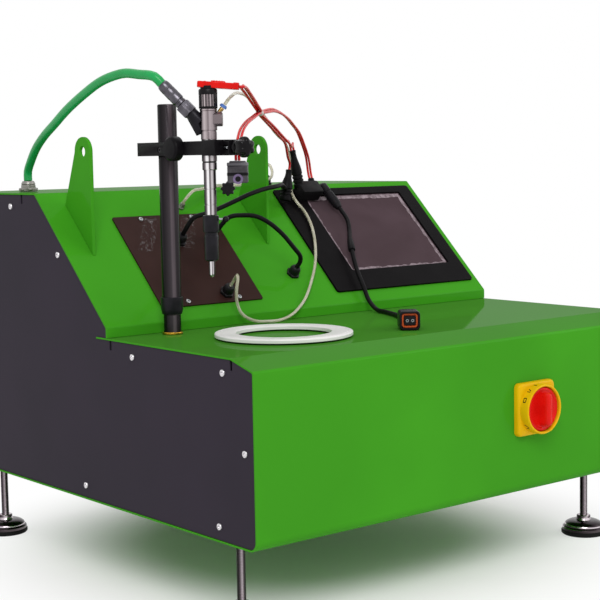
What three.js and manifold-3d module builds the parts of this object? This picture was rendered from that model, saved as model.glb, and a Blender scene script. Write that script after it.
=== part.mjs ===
// A bench for testing common rail injectors. A folded sheet-steel cabinet stands on four levelling feet.
// A sloping console carries a control plate and a screen, a post with a clamp arm holds one injector over
// a seat ring on the worktop, and the motor, pump, rail and tank are inside the cabinet.
// Lengths are in millimetres. X runs to the right along the front, Y to the back and Z up.
import * as THREE from 'three';
import { mergeVertices } from 'three/addons/utils/BufferGeometryUtils.js';
import Module from 'manifold-3d';

const wasm = await Module();
wasm.setup();

// Driving dimensions. Heights are above the cabinet's underside, depths are behind its front face.
const benchWidth = 630;
const benchDepth = 650;
const standHeight = 97;
const creaseHeight = 189;
const facetDepth = 39;
const worktopHeight = 200;
const slopeFootDepth = 280;
const flangeHeight = 12.5;
const slopeTopDepth = 439;
const cabinetHeight = 367;
const sheet = 2;
const seatGap = 0.3;
const cutOverrun = 1;

// Places in the bench's own frame, whose origin is the cabinet's left front bottom corner.
const point = (x, y, z) => new THREE.Vector3(x, y, z);
const along = (start, direction, distance) => start.clone().addScaledVector(direction, distance);
const xAxis = point(1, 0, 0);
const yAxis = point(0, 1, 0);
const zAxis = point(0, 0, 1);

const bench = new THREE.Group();

function finish(color, roughness, metalness) {
  return new THREE.MeshStandardMaterial({ color, roughness, metalness });
}

const greenPaint = finish('#409620', 0.25, 0);
const darkPaint = finish('#332e37', 0.45, 0);
const brownPlate = finish('#3d2b26', 0.35, 0);
const blackPlastic = finish('#151316', 0.45, 0);
const blackMetal = finish('#1d1b20', 0.3, 0.4);
const screenGlass = finish('#4b4045', 0.15, 0);
const yellowPlastic = finish('#f2c20c', 0.35, 0);
const redPlastic = finish('#c8181a', 0.35, 0);
const brightSteel = finish('#c4c6c9', 0.25, 1);
const brass = finish('#b99a55', 0.3, 1);
const bluePlastic = finish('#4a6fb5', 0.4, 0);
const whitePlastic = finish('#e9e6e8', 0.4, 0);
const blackRubber = finish('#141414', 0.8, 0);
const greenHose = finish('#25a85a', 0.45, 0);
const redWire = finish('#c8181a', 0.4, 0);
const clearTube = finish('#d6d2c0', 0.2, 0);
const greyPlastic = finish('#6b6a70', 0.5, 0);
const castMetal = finish('#7d8186', 0.6, 0.6);

// Every geometry becomes one closed indexed mesh whose faces point out.
function tidy(geometry) {
  const bare = geometry.clone();
  bare.deleteAttribute('normal');
  bare.deleteAttribute('uv');
  const merged = mergeVertices(bare);
  const index = merged.index.array;
  const place = merged.attributes.position;
  const kept = [];
  const [a, b, c] = [point(0, 0, 0), point(0, 0, 0), point(0, 0, 0)];
  let volume = 0;
  for (let i = 0; i < index.length; i += 3) {
    const corner = [index[i], index[i + 1], index[i + 2]];
    if (corner[0] === corner[1] || corner[1] === corner[2] || corner[2] === corner[0]) continue;
    kept.push(corner);
    a.fromBufferAttribute(place, corner[0]);
    b.fromBufferAttribute(place, corner[1]);
    c.fromBufferAttribute(place, corner[2]);
    volume += a.dot(b.cross(c));
  }
  if (volume < 0) kept.forEach((corner) => corner.reverse());
  merged.setIndex(kept.flat());
  return merged;
}

function solidOf(geometry) {
  const mesh = tidy(geometry);
  return new wasm.Manifold(new wasm.Mesh({
    numProp: 3,
    vertProperties: Float32Array.from(mesh.attributes.position.array),
    triVerts: Uint32Array.from(mesh.index.array),
  }));
}

function geometryOf(solid) {
  const mesh = solid.getMesh();
  const places = [];
  for (let i = 0; i < mesh.numVert; i += 1) {
    places.push(...mesh.vertProperties.slice(i * mesh.numProp, i * mesh.numProp + 3));
  }
  const geometry = new THREE.BufferGeometry();
  geometry.setAttribute('position', new THREE.BufferAttribute(Float32Array.from(places), 3));
  geometry.setIndex(Array.from(mesh.triVerts));
  return geometry;
}

const cut = (base, tools) => geometryOf(tools.reduce((left, tool) => left.subtract(solidOf(tool)), solidOf(base)));
const join = (parts) => geometryOf(parts.slice(1).reduce((sum, part) => sum.add(solidOf(part)), solidOf(parts[0])));
const common = (one, other) => geometryOf(solidOf(one).intersect(solidOf(other)));

function addPiece(name, geometry, material) {
  const mesh = new THREE.Mesh(tidy(geometry), material);
  mesh.name = name;
  bench.add(mesh);
  return mesh;
}

function block(low, high) {
  const size = high.clone().sub(low);
  const middle = low.clone().lerp(high, 0.5);
  return new THREE.BoxGeometry(size.x, size.y, size.z).translate(middle.x, middle.y, middle.z);
}

// A rod, cone or many-sided bar from one point to another.
function rod(start, end, radius, sides, endRadius = radius) {
  const line = end.clone().sub(start);
  const geometry = new THREE.CylinderGeometry(endRadius, radius, line.length(), sides);
  geometry.translate(0, line.length() / 2, 0);
  geometry.applyQuaternion(new THREE.Quaternion().setFromUnitVectors(yAxis, line.normalize()));
  return geometry.translate(start.x, start.y, start.z);
}

// A turned piece. The profile lists [radius, distance along the axis] from end to end.
function turned(profile, sides, start, axis) {
  const geometry = new THREE.LatheGeometry(profile.map(([radius, reach]) => new THREE.Vector2(radius, reach)), sides);
  geometry.applyQuaternion(new THREE.Quaternion().setFromUnitVectors(yAxis, axis.clone().normalize()));
  return geometry.translate(start.x, start.y, start.z);
}

// Outlines are lists of [across, up] pairs.
function arc(across, up, radius, from, to, steps) {
  return Array.from({ length: steps + 1 }, (_, i) => {
    const angle = from + (to - from) * i / steps;
    return [across + radius * Math.cos(angle), up + radius * Math.sin(angle)];
  });
}

const circle = (across, up, radius, steps) => arc(across, up, radius, 0, 2 * Math.PI, steps).slice(0, steps);

function roundedBox(across, up, width, height, radius, steps) {
  const [w, h] = [width / 2 - radius, height / 2 - radius];
  const quarter = Math.PI / 2;
  return [[w, h], [-w, h], [-w, -h], [w, -h]].flatMap(([dx, dy], i) =>
    arc(across + dx, up + dy, radius, i * quarter, (i + 1) * quarter, steps));
}

function prism(outline, holes, depth, frame, lift = 0) {
  const shape = new THREE.Shape(outline.map(([x, y]) => new THREE.Vector2(x, y)));
  shape.holes = holes.map((hole) => new THREE.Path(hole.map(([x, y]) => new THREE.Vector2(x, y))));
  const geometry = new THREE.ExtrudeGeometry(shape, { depth, bevelEnabled: false });
  return geometry.translate(0, 0, lift).applyMatrix4(frame);
}

// Moves an outline sideways by a distance: to its right along an open line, inwards on a clockwise one.
function offsetLine(line, distance, closed) {
  const count = line.length;
  const normals = line.map(([x, y], i) => {
    const [nextX, nextY] = line[(i + 1) % count];
    const length = Math.hypot(nextX - x, nextY - y);
    return [(nextY - y) / length, (x - nextX) / length];
  });
  return line.map(([x, y], i) => {
    const before = closed || i > 0 ? normals[(i + count - 1) % count] : normals[i];
    const after = closed || i < count - 1 ? normals[i] : before;
    const reach = distance / (1 + before[0] * after[0] + before[1] * after[1]);
    return [x + (before[0] + after[0]) * reach, y + (before[1] + after[1]) * reach];
  });
}

// Rounds the corners of a line, with one radius for each corner and 0 where it stays sharp.
function rounded(line, radii, steps, closed) {
  return line.flatMap(([x, y], i) => {
    const end = !closed && (i === 0 || i === line.length - 1);
    if (end || radii[i] === 0) return [[x, y]];
    const corner = new THREE.Vector2(x, y);
    const back = new THREE.Vector2(...line[(i + line.length - 1) % line.length]).sub(corner).normalize();
    const onward = new THREE.Vector2(...line[(i + 1) % line.length]).sub(corner).normalize();
    const half = Math.acos(back.dot(onward)) / 2;
    const centre = back.clone().add(onward).normalize().multiplyScalar(radii[i] / Math.sin(half)).add(corner);
    const first = back.multiplyScalar(radii[i] / Math.tan(half)).add(corner).sub(centre);
    const last = onward.multiplyScalar(radii[i] / Math.tan(half)).add(corner).sub(centre);
    const turn = Math.atan2(first.cross(last), first.dot(last));
    return Array.from({ length: steps + 1 }, (_, step) => {
      const arm = first.clone().rotateAround(new THREE.Vector2(0, 0), turn * step / steps).add(centre);
      return [arm.x, arm.y];
    });
  });
}

// Local frames: across and up an outline, and out of the face.
const levelFrame = new THREE.Matrix4();
const sideFrame = new THREE.Matrix4().makeBasis(yAxis, zAxis, xAxis);
const frontFrame = new THREE.Matrix4().makeBasis(xAxis, zAxis, yAxis.clone().negate());
const rearFrame = new THREE.Matrix4().makeBasis(xAxis.clone().negate(), zAxis, yAxis)
  .setPosition(benchWidth, benchDepth, 0);
const slopeFootHeight = worktopHeight + flangeHeight;
const slopeUp = point(0, slopeTopDepth - slopeFootDepth, cabinetHeight - slopeFootHeight).normalize();
const slopeNormal = xAxis.clone().cross(slopeUp);
const slopeLength = Math.hypot(slopeTopDepth - slopeFootDepth, cabinetHeight - slopeFootHeight);
const slopeFrame = new THREE.Matrix4().makeBasis(xAxis, slopeUp, slopeNormal)
  .setPosition(0, slopeFootDepth, slopeFootHeight);
const onSlope = (across, up, out) => point(across, up, out).applyMatrix4(slopeFrame);

// Cabinet shell: the front and worktop are one folded sheet, the console another, and a flat base and
// rear panel close it. The sheets run to the full width, so that their edges frame the side panels.
const bendRadius = 4;
const frontCornerRadius = 12;
const bendSteps = 2;
const bottomLipDepth = 28;
const worktopLap = 24;
const rearLipHeight = 27;
const postHoleSlack = 0.5;

const frontFolds = [
  [bottomLipDepth, 0], [0, 0], [0, creaseHeight], [facetDepth, worktopHeight],
  [slopeFootDepth + worktopLap, worktopHeight],
];
const consoleFolds = [
  [slopeFootDepth, worktopHeight + seatGap], [slopeFootDepth, slopeFootHeight], [slopeTopDepth, cabinetHeight],
  [benchDepth, cabinetHeight], [benchDepth, cabinetHeight - rearLipHeight],
];
const frontLine = rounded(frontFolds, [0, frontCornerRadius, bendRadius, bendRadius, 0], bendSteps, false);
const consoleLine = rounded(consoleFolds, [0, bendRadius, bendRadius, bendRadius, 0], bendSteps, false);
const bentSheet = (line) => prism([...line, ...offsetLine(line, sheet, false).reverse()], [], benchWidth, sideFrame);
const share = (part, from, to) => from + (to - from) * part;

// Panel screws: a pan head and a short shank, made in one with the panel that they hold.
const screwHeadRadius = 4;
const screwHeadHeight = 2.2;
const screwShankRadius = 1.9;
const screwShankClearance = 0.35;
const screwSides = 8;
const screwCrownShare = 0.6;
const sidePanelSet = 1;
const flangeThickness = 2;
const flangeWidth = 24;

const screw = (foot, normal, depth) => turned([
  [0, -depth], [screwShankRadius, -depth], [screwShankRadius, -seatGap], [screwHeadRadius, -seatGap],
  [screwHeadRadius, screwHeadHeight / 2], [screwHeadRadius * screwCrownShare, screwHeadHeight], [0, screwHeadHeight],
], screwSides, foot, normal);
const screwHole = (foot, normal, depth) => rod(along(foot, normal, -depth - cutOverrun),
  along(foot, normal, cutOverrun), screwShankRadius + screwShankClearance, screwSides);

// Side flanges: each folded sheet has a flange along its run behind both side panels, which are screwed
// to it. The places of the side screws are depths behind the front face and heights.
const screwEdge = 17;
const frontScrewShare = 0.54;
const worktopScrewShares = [0.19, 0.81];
const bottomScrewShares = [0.1, 0.52, 0.93];
const slopeScrewShare = 0.6;
const deckScrewShares = [0.3, 0.9];
const rearScrewShares = [0.3, 0.75];

const shellOutline = [
  [0, 0], [0, creaseHeight], [facetDepth, worktopHeight], [slopeFootDepth, worktopHeight],
  [slopeFootDepth, slopeFootHeight], [slopeTopDepth, cabinetHeight], [benchDepth, cabinetHeight], [benchDepth, 0],
];
const shellInset = (inset) => {
  const bend = Math.max(0, bendRadius - inset);
  return rounded(offsetLine(shellOutline, inset, true),
    [frontCornerRadius - inset, bend, bend, 0, bend, bend, bend, 0], bendSteps, true);
};
const slopeScrew = onSlope(0, slopeLength * slopeScrewShare, -screwEdge);
const sideScrewPlaces = [
  [screwEdge, creaseHeight * frontScrewShare],
  ...worktopScrewShares.map((part) => [slopeFootDepth * part, worktopHeight - screwEdge]),
  ...bottomScrewShares.map((part) => [benchDepth * part, screwEdge]),
  [slopeScrew.y, slopeScrew.z],
  ...deckScrewShares.map((part) => [share(part, slopeTopDepth, benchDepth), cabinetHeight - screwEdge]),
  ...rearScrewShares.map((part) => [benchDepth - screwEdge, cabinetHeight * part]),
];
const sides = ['left', 'right'];
const outwards = { left: xAxis.clone().negate(), right: xAxis };
const panelFrames = {
  left: sideFrame,
  right: new THREE.Matrix4().makeScale(-1, 1, 1).setPosition(benchWidth, 0, 0).multiply(sideFrame),
};
const sideScrewDepth = sheet + seatGap + flangeThickness;
const flangeLift = sidePanelSet + sheet + seatGap;
const sideScrewFeet = (side) => sideScrewPlaces.map(([y, z]) =>
  point(side === 'left' ? sidePanelSet : benchWidth - sidePanelSet, y, z));
const sideScrewHoles = (side) => sideScrewFeet(side).map((foot) => screwHole(foot, outwards[side], sideScrewDepth));

// Flanges on both sides of a sheet, from the sharp line of its folds, set back from the sheet's ends.
const shortened = (line) => {
  const ends = [[line[0], line[1]], [line[line.length - 1], line[line.length - 2]]].map(([end, next]) => {
    const back = new THREE.Vector2(...next).sub(new THREE.Vector2(...end)).setLength(sheet);
    return [end[0] + back.x, end[1] + back.y];
  });
  return [ends[0], ...line.slice(1, -1), ends[1]];
};
const flanges = (folds) => sides.map((side) => {
  const line = shortened(folds);
  const outline = [...offsetLine(line, sheet / 2, false), ...offsetLine(line, flangeWidth, false).reverse()];
  const strip = prism(outline, [], flangeThickness, panelFrames[side], flangeLift);
  const inside = prism(shellInset(sheet / 2), [], flangeThickness, panelFrames[side], flangeLift);
  return cut(common(strip, inside), sideScrewHoles(side));
});

// Levelling feet: a domed foot on a threaded stud, which screws into a nut welded to the base.
const footInset = 32;
const footFrontDepth = 71;
const footRearInset = 41;
const studRadius = 5;
const studRise = 24;
const studClearance = 0.4;
const footRadius = 29;
const footRubberHeight = 6;
const footBandHeight = 4;
const footBandRadius = 28;
const footDomeHeight = 10;
const footNeckRadius = 9;
const footNeckHeight = 5;
const footNutRadius = 9.8;
const footNutHeight = 8;
const footSides = 20;
const domeShares = [[0.9, 0.25], [0.66, 0.65]];

const footRearDepth = benchDepth - footRearInset;
const feet = {
  front_left: [footInset, footFrontDepth],
  front_right: [benchWidth - footInset, footFrontDepth],
  rear_left: [footInset, footRearDepth],
  rear_right: [benchWidth - footInset, footRearDepth],
};
const footBandTop = footRubberHeight + footBandHeight;
const footNeckTop = footBandTop + footDomeHeight + footNeckHeight;
const footProfile = [
  [0, 0], [footRadius, 0], [footRadius, footRubberHeight], [footBandRadius, footRubberHeight],
  [footBandRadius, footBandTop],
  ...domeShares.map(([radiusShare, heightShare]) =>
    [footBandRadius * radiusShare, footBandTop + footDomeHeight * heightShare]),
  [footNeckRadius, footBandTop + footDomeHeight], [footNeckRadius, footNeckTop],
  [studRadius, footNeckTop], [studRadius, standHeight + studRise], [0, standHeight + studRise],
];
for (const [place, [x, y]] of Object.entries(feet)) {
  addPiece(`foot_${place}`, turned(footProfile, footSides, point(x, y, -standHeight), zAxis), brightSteel);
}

// The base tray has a flange along each side, and its nuts for the studs are welded on.
const nutSides = 6;
const trayFront = bottomLipDepth + seatGap;
const trayRear = benchDepth - sheet - seatGap;
addPiece('base_tray', cut(join([
  block(point(0, trayFront, 0), point(benchWidth, trayRear, sheet)),
  ...flanges([[trayRear - flangeWidth, 0], [trayFront, 0]]),
  ...Object.values(feet).map(([x, y]) =>
    rod(point(x, y, -footNutHeight), point(x, y, sheet + footNutHeight / 2), footNutRadius, nutSides)),
]), Object.values(feet).map(([x, y]) => rod(point(x, y, -footNutHeight - cutOverrun),
  point(x, y, sheet + footNutHeight), studRadius + studClearance, footSides / 2))), greenPaint);

// Main switch: a yellow square plate moulded with a raised collar, a red handle that turns, and the
// switch itself behind the front panel.
const switchX = 419;
const switchZ = 102;
const switchPlateSize = 64;
const switchPlateCorner = 5;
const switchPlateDepth = 8;
const switchCollarRadius = 30;
const switchCollarWall = 3.2;
const switchCollarHeight = 12;
const handleClearance = 0.6;
const handleDepth = 16;
const gripWidth = 13;
const gripHeight = 14;
const gripLengthShare = 0.94;
const switchShaftRadius = 4;
const switchShaftClearance = 0.5;
const switchBodyWidth = 60;
const switchBodyDepth = 52;
const switchBoreDepth = 20;
const switchSides = 24;
const cornerSteps = 2;

const switchAt = (y) => point(switchX, y, switchZ);
const plateFace = seatGap + switchPlateDepth;
const handleRadius = switchCollarRadius - switchCollarWall - handleClearance;
const handleFace = plateFace + seatGap + handleDepth;
const switchBodyFace = sheet + seatGap;
const shaftEnd = switchBodyFace + switchBoreDepth - seatGap;
const shaftHole = switchShaftRadius + switchShaftClearance;
addPiece('switch_plate', join([
  prism(roundedBox(switchX, switchZ, switchPlateSize, switchPlateSize, switchPlateCorner, cornerSteps),
    [circle(switchX, switchZ, shaftHole, switchSides / 2)], switchPlateDepth, frontFrame, seatGap),
  prism(circle(switchX, switchZ, switchCollarRadius, switchSides),
    [circle(switchX, switchZ, switchCollarRadius - switchCollarWall, switchSides)],
    switchPlateDepth / 2 + switchCollarHeight, frontFrame, plateFace - switchPlateDepth / 2),
]), yellowPlastic);
addPiece('switch_handle', join([
  rod(switchAt(-plateFace - seatGap), switchAt(-handleFace), handleRadius, switchSides),
  rod(switchAt(shaftEnd), switchAt(-handleFace), switchShaftRadius, switchSides / 2),
  block(point(switchX - gripWidth / 2, -handleFace - gripHeight, switchZ - handleRadius * gripLengthShare),
    point(switchX + gripWidth / 2, -plateFace - handleDepth / 2, switchZ + handleRadius * gripLengthShare)),
]), redPlastic);
addPiece('switch_body', cut(
  block(point(switchX - switchBodyWidth / 2, switchBodyFace, switchZ - switchBodyWidth / 2),
    point(switchX + switchBodyWidth / 2, switchBodyFace + switchBodyDepth, switchZ + switchBodyWidth / 2)),
  [rod(switchAt(0), switchAt(switchBodyFace + switchBoreDepth), shaftHole, switchSides / 2)],
), blackPlastic);

// Clamp stand: a black post through the worktop, necked at its foot, with a brass ring under it and a
// flared stop collar above the neck.
const postX = 79;
const postY = 260;
const postRadius = 11.25;
const postNeckRadius = 10.3;
const postTop = 470;
const postTail = 30;
const postSides = 20;
const baseRingHeight = 2.7;
const baseRingRadius = 12.4;
const neckHeight = 24;
const stopRadius = 13.2;
const stopBottomRadius = 11.9;
const stopHeight = 20;
const stopTaper = 6;
const postClearance = 0.3;

const neckTop = worktopHeight + neckHeight;
const stopLow = neckTop + seatGap;
const postAt = (z) => point(postX, postY, z);
addPiece('post', turned([
  [0, worktopHeight - postTail], [postNeckRadius, worktopHeight - postTail], [postNeckRadius, neckTop],
  [postRadius, neckTop], [postRadius, postTop - sheet / 2], [postRadius - sheet / 2, postTop], [0, postTop],
], postSides, postAt(0), zAxis), blackMetal);
const ringAround = (low, high, outer, inner, sides) => turned(
  [[inner, low], [outer, low], [outer, high], [inner, high], [inner, low]], sides, postAt(0), zAxis);
addPiece('post_base_ring', ringAround(worktopHeight + seatGap, worktopHeight + seatGap + baseRingHeight,
  baseRingRadius, postNeckRadius + postClearance, postSides), brass);
addPiece('post_stop_collar', turned([
  [postRadius + postClearance, stopLow], [stopBottomRadius, stopLow], [stopRadius, stopLow + stopTaper],
  [stopRadius, stopLow + stopHeight], [postRadius + postClearance, stopLow + stopHeight],
  [postRadius + postClearance, stopLow],
], postSides, postAt(0), zAxis), blackMetal);

// Front panel with its worktop, cut for the switch's shaft and the post.
const lapCorner = (low, high) => block(point(low, slopeFootDepth + sheet, worktopHeight - sheet - cutOverrun),
  point(high, slopeFootDepth + worktopLap + cutOverrun, worktopHeight + cutOverrun));
addPiece('front_worktop_panel', cut(join([bentSheet(frontLine), ...flanges(frontFolds)]), [
  lapCorner(-cutOverrun, flangeLift), lapCorner(benchWidth - flangeLift, benchWidth + cutOverrun),
  rod(switchAt(-cutOverrun), switchAt(sheet + cutOverrun), shaftHole + handleClearance, switchSides / 2),
  rod(postAt(worktopHeight - sheet - cutOverrun), postAt(worktopHeight + cutOverrun),
    postNeckRadius + postHoleSlack, postSides),
]), greenPaint);

// Control plate and screen on the slope. Places are across the bench and up the slope from its foot.
const plateLeft = 88;
const plateRight = 241;
const plateLow = 20;
const plateHigh = 173;
const plateThickness = 2;
const plateScrewAcross = [128, 206];
const plateScrewEdge = 6;
const bezelLeft = 365;
const bezelRight = 619;
const bezelLow = 19;
const bezelHigh = 210;
const bezelThickness = 3;
const bezelCorner = 4;
const glassLeft = 413;
const glassRight = 595;
const glassLow = 54;
const glassHigh = 197;
const glassLap = 4;
const controlBoxMargin = 14;
const controlBoxDepth = 55;

const boxOutline = (left, right, low, high, corner) =>
  roundedBox((left + right) / 2, (low + high) / 2, right - left, high - low, corner, cornerSteps);
const glassOutline = (grow) => boxOutline(glassLeft - grow, glassRight + grow, glassLow - grow, glassHigh + grow,
  bezelCorner / 2);

// Cable glands and ports: a hexagon flange, a rounded cap and a threaded tail through the panel.
const glandSides = 12;
const glandFlangeRadius = 9.5;
const glandFlangeHeight = 4;
const glandCapRadius = 7;
const glandCapHeight = 10;
const glandTailRadius = 5;
const glandTailClearance = 0.4;
const glandTailLength = 10;
const glandWallShare = 0.7;
const glandCrownShare = 0.8;
const hosePortScale = 1.35;
const plateGlands = { cableA: [165, 125], cableB: [213, 121], returnPort: [190, 34] };
const cableEndPlace = [312, 58];
const tubePortPlace = [200, 186];
const tubePortRadius = 4;
const sensorPortPlace = [395, 482];
const hosePortPlace = [50, 545];

// A gland's foot lies on its panel's face, and its body reaches down by the seat's depth.
function gland(foot, normal, scale, seat) {
  const height = glandFlangeHeight + glandCapHeight;
  const profile = [
    [0, -seat - glandTailLength], [glandTailRadius * scale, -seat - glandTailLength],
    [glandTailRadius * scale, glandFlangeHeight / 2], [glandCapRadius * scale, glandFlangeHeight / 2],
    [glandCapRadius * scale, share(glandWallShare, glandFlangeHeight, height)],
    [glandCapRadius * scale * glandCrownShare, height], [0, height],
  ];
  return (low) => join([turned(profile, glandSides, foot, normal),
    rod(along(foot, normal, low), along(foot, normal, glandFlangeHeight), glandFlangeRadius * scale, nutSides)]);
}
const glandHole = (foot, normal, scale) => rod(along(foot, normal, -sheet - plateThickness - cutOverrun),
  along(foot, normal, cutOverrun), glandTailRadius * scale + glandTailClearance, glandSides);
const plateFoot = ([across, up]) => onSlope(across, up, seatGap + plateThickness);
const plateGlandTop = (place) => along(plateFoot(place), slopeNormal, glandFlangeHeight + glandCapHeight);
const plateGlandFeet = Object.values(plateGlands).map(plateFoot);
const cableEndFoot = onSlope(...cableEndPlace, 0);
const tubePortFoot = onSlope(...tubePortPlace, 0);
const sensorPortFoot = point(...sensorPortPlace, cabinetHeight);
const hosePortFoot = point(...hosePortPlace, cabinetHeight);
addPiece('hose_port', gland(hosePortFoot, zAxis, hosePortScale, sheet)(seatGap), brightSteel);

const slopeHoles = plateGlandFeet.map((foot) => glandHole(foot, slopeNormal, 1));
const plateScrewPlaces = plateScrewAcross.flatMap((across) =>
  [plateLow + plateScrewEdge, plateHigh - plateScrewEdge].map((up) => [across, up]));

const plateScrewFeet = plateScrewPlaces.map(plateFoot);
const plateScrewDepth = plateThickness + seatGap + sheet;
const plateScrewHoles = plateScrewFeet.map((foot) => screwHole(foot, slopeNormal, plateScrewDepth));

addPiece('control_plate', join([
  prism(boxOutline(plateLeft, plateRight, plateLow, plateHigh, bezelCorner / 2), [], plateThickness, slopeFrame, seatGap),
  ...plateGlandFeet.map((foot) => gland(foot, slopeNormal, 1, sheet + plateThickness)(-seatGap)),
  ...plateScrewFeet.map((foot) => screw(foot, slopeNormal, plateScrewDepth)),
]), brownPlate);
addPiece('screen_bezel', prism(
  boxOutline(bezelLeft, bezelRight, bezelLow, bezelHigh, bezelCorner), [glassOutline(0)],
  bezelThickness, slopeFrame, seatGap,
), blackPlastic);
addPiece('screen_glass', prism(glassOutline(glassLap), [], sheet - seatGap, slopeFrame, seatGap - sheet), screenGlass);
addPiece('control_box', prism(
  boxOutline(glassLeft - controlBoxMargin, glassRight + controlBoxMargin, glassLow - controlBoxMargin,
    glassHigh + controlBoxMargin / 2, bezelCorner), [],
  controlBoxDepth, slopeFrame, -sheet - seatGap - controlBoxDepth,
), blackPlastic);
const shell = cut(join([bentSheet(consoleLine), ...flanges(consoleFolds)]), [
  ...slopeHoles, ...plateScrewHoles, glandHole(hosePortFoot, zAxis, hosePortScale),
  prism(glassOutline(glassLap + seatGap), [], sheet + 2 * cutOverrun, slopeFrame, -sheet - cutOverrun),
]);
const tubePortTop = along(tubePortFoot, slopeNormal, glandFlangeHeight + glandCapHeight / 2);
addPiece('console_panel', join([
  shell, gland(cableEndFoot, slopeNormal, 1, sheet)(-seatGap), gland(sensorPortFoot, zAxis, 1, sheet)(-seatGap),
  rod(along(tubePortFoot, slopeNormal, -glandTailLength), tubePortTop, tubePortRadius, glandSides),
]), greenPaint);

// Cover ears: two upright plates with a pin hole, standing on the slope.
const earThickness = 4.5;
const earPlaces = [36, 304];
const earFrontUp = 113;
const earRearUp = 200;
const earHoleHeight = 417;
const earRadius = 18;
const earHoleRadius = 6.5;
const earSteps = 10;

const earFront = onSlope(0, earFrontUp, seatGap);
const earRear = onSlope(0, earRearUp, seatGap);
const earHoleDepth = earFront.y + earRadius;
const earOutline = [
  [earFront.y, earFront.z], ...arc(earHoleDepth, earHoleHeight, earRadius, Math.PI, 0, earSteps), [earRear.y, earRear.z],
];
sides.forEach((side, i) => addPiece(`${side}_cover_ear`, prism(earOutline,
  [circle(earHoleDepth, earHoleHeight, earHoleRadius, 2 * earSteps)], earThickness, sideFrame,
  earPlaces[i] - earThickness / 2), greenPaint));

// Side panels: dark sheets set just inside the green edges, with three small relief slots, screwed to
// the flanges behind them.
const slotWidth = 4;
const slotDepth = 11;
const slotPlaces = [[facetDepth, worktopHeight], [slopeFootDepth - 3 * sheet, worktopHeight]];
const deckSlotShare = 0.73;

const panelInset = sheet + seatGap;
const slots = [...slotPlaces, [benchDepth * deckSlotShare, cabinetHeight]].map(([y, top]) =>
  [y - slotWidth / 2, y + slotWidth / 2, top - panelInset - slotDepth, top]);
sides.forEach((side) => {
  const slotCuts = slots.map(([near, far, low, high]) => prism(
    [[near, low], [far, low], [far, high], [near, high]], [], sheet + 2 * cutOverrun, panelFrames[side],
    sidePanelSet - cutOverrun));
  const panel = cut(prism(shellInset(panelInset), [], sheet, panelFrames[side], sidePanelSet), slotCuts);
  const screws = sideScrewFeet(side).map((foot) => screw(foot, outwards[side], sideScrewDepth));
  addPiece(`${side}_side_panel`, join([panel, ...screws]), darkPaint);
});

// Cooling fan and mains inlet on the rear panel.
const fanX = 150;
const fanZ = 285;
const fanSize = 120;
const fanDepth = 25;
const fanHoleRadius = 56;
const fanHubRadius = 20;
const fanHubWeb = 4;
const fanSpokeWidth = 8;
const fanBladeCount = 7;
const fanBladeThickness = 2;
const fanBladePitch = 0.6;
const fanBladeClearance = 2;
const fanSides = 20;
const ventCount = 7;
const ventHeight = 7;
const ventPitch = 14;
const inletX = 520;
const inletZ = 70;
const inletFlangeWidth = 48;
const inletFlangeHeight = 28;
const inletFlangeThickness = 4;
const inletBodyWidth = 34;
const inletBodyHeight = 24;
const inletBodyDepth = 26;
const inletMouthWidth = 25;
const inletMouthHeight = 17;
const inletMouthDepth = 18;
const inletPinReach = 10;
const inletPinWidth = 2.5;
const inletPinHeight = 5;
const inletPinPitch = 7;

const fromRear = (x) => benchWidth - x;
const rearBox = (x, z, width, height, corner) => roundedBox(fromRear(x), z, width, height, corner, cornerSteps);
const inletBodyOutline = (grow) => rearBox(inletX, inletZ, inletBodyWidth + 2 * grow, inletBodyHeight + 2 * grow,
  bezelCorner / 2);
const vents = Array.from({ length: ventCount }, (_, i) => {
  const z = fanZ + (i - (ventCount - 1) / 2) * ventPitch;
  const width = 2 * Math.sqrt(fanHoleRadius ** 2 - (z - fanZ) ** 2) - ventHeight;
  return rearBox(fanX, z, width, ventHeight, ventHeight / 2 - seatGap);
});
const rearTop = cabinetHeight - rearLipHeight - seatGap;
addPiece('rear_panel', join([
  prism([[0, 0], [benchWidth, 0], [benchWidth, rearTop], [0, rearTop]], [...vents, inletBodyOutline(seatGap)],
    sheet, rearFrame, -sheet),
  ...flanges([[benchDepth, rearTop], [benchDepth, flangeWidth]]),
]), greenPaint);

const fanLow = -sheet - seatGap - fanDepth;
const fanShape = (radius) => circle(fromRear(fanX), fanZ, radius, fanSides);
const spoke = (turn) => prism(
  [[-fanHoleRadius, -fanSpokeWidth / 2], [fanHoleRadius, -fanSpokeWidth / 2], [fanHoleRadius, fanSpokeWidth / 2],
    [-fanHoleRadius, fanSpokeWidth / 2]].map(([x, z]) => [
    fromRear(fanX) + x * Math.cos(turn) - z * Math.sin(turn), fanZ + x * Math.sin(turn) + z * Math.cos(turn)]),
  [], fanHubWeb, rearFrame, fanLow);
addPiece('fan_frame', join([
  prism(rearBox(fanX, fanZ, fanSize, fanSize, bezelCorner), [fanShape(fanHoleRadius)], fanDepth, rearFrame, fanLow),
  prism(fanShape(fanHubRadius), [], fanHubWeb, rearFrame, fanLow),
  spoke(Math.PI / 4), spoke(-Math.PI / 4),
]), blackPlastic);
const fanRotorLow = fanLow + fanHubWeb + seatGap;
const fanRotorDepth = fanDepth - fanHubWeb - 2 * fanBladeClearance;
const fanCentre = (y) => point(fanX, benchDepth + y, fanZ);
const blade = (i) => {
  const reach = fanHoleRadius - fanBladeClearance;
  const shape = new THREE.BoxGeometry(fanBladeThickness, fanRotorDepth, reach - fanHubRadius / 2);
  shape.rotateZ(fanBladePitch).translate(0, 0, (reach + fanHubRadius / 2) / 2).rotateY(2 * Math.PI * i / fanBladeCount);
  const middle = fanCentre(fanRotorLow + fanRotorDepth / 2);
  return shape.translate(middle.x, middle.y, middle.z);
};
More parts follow.
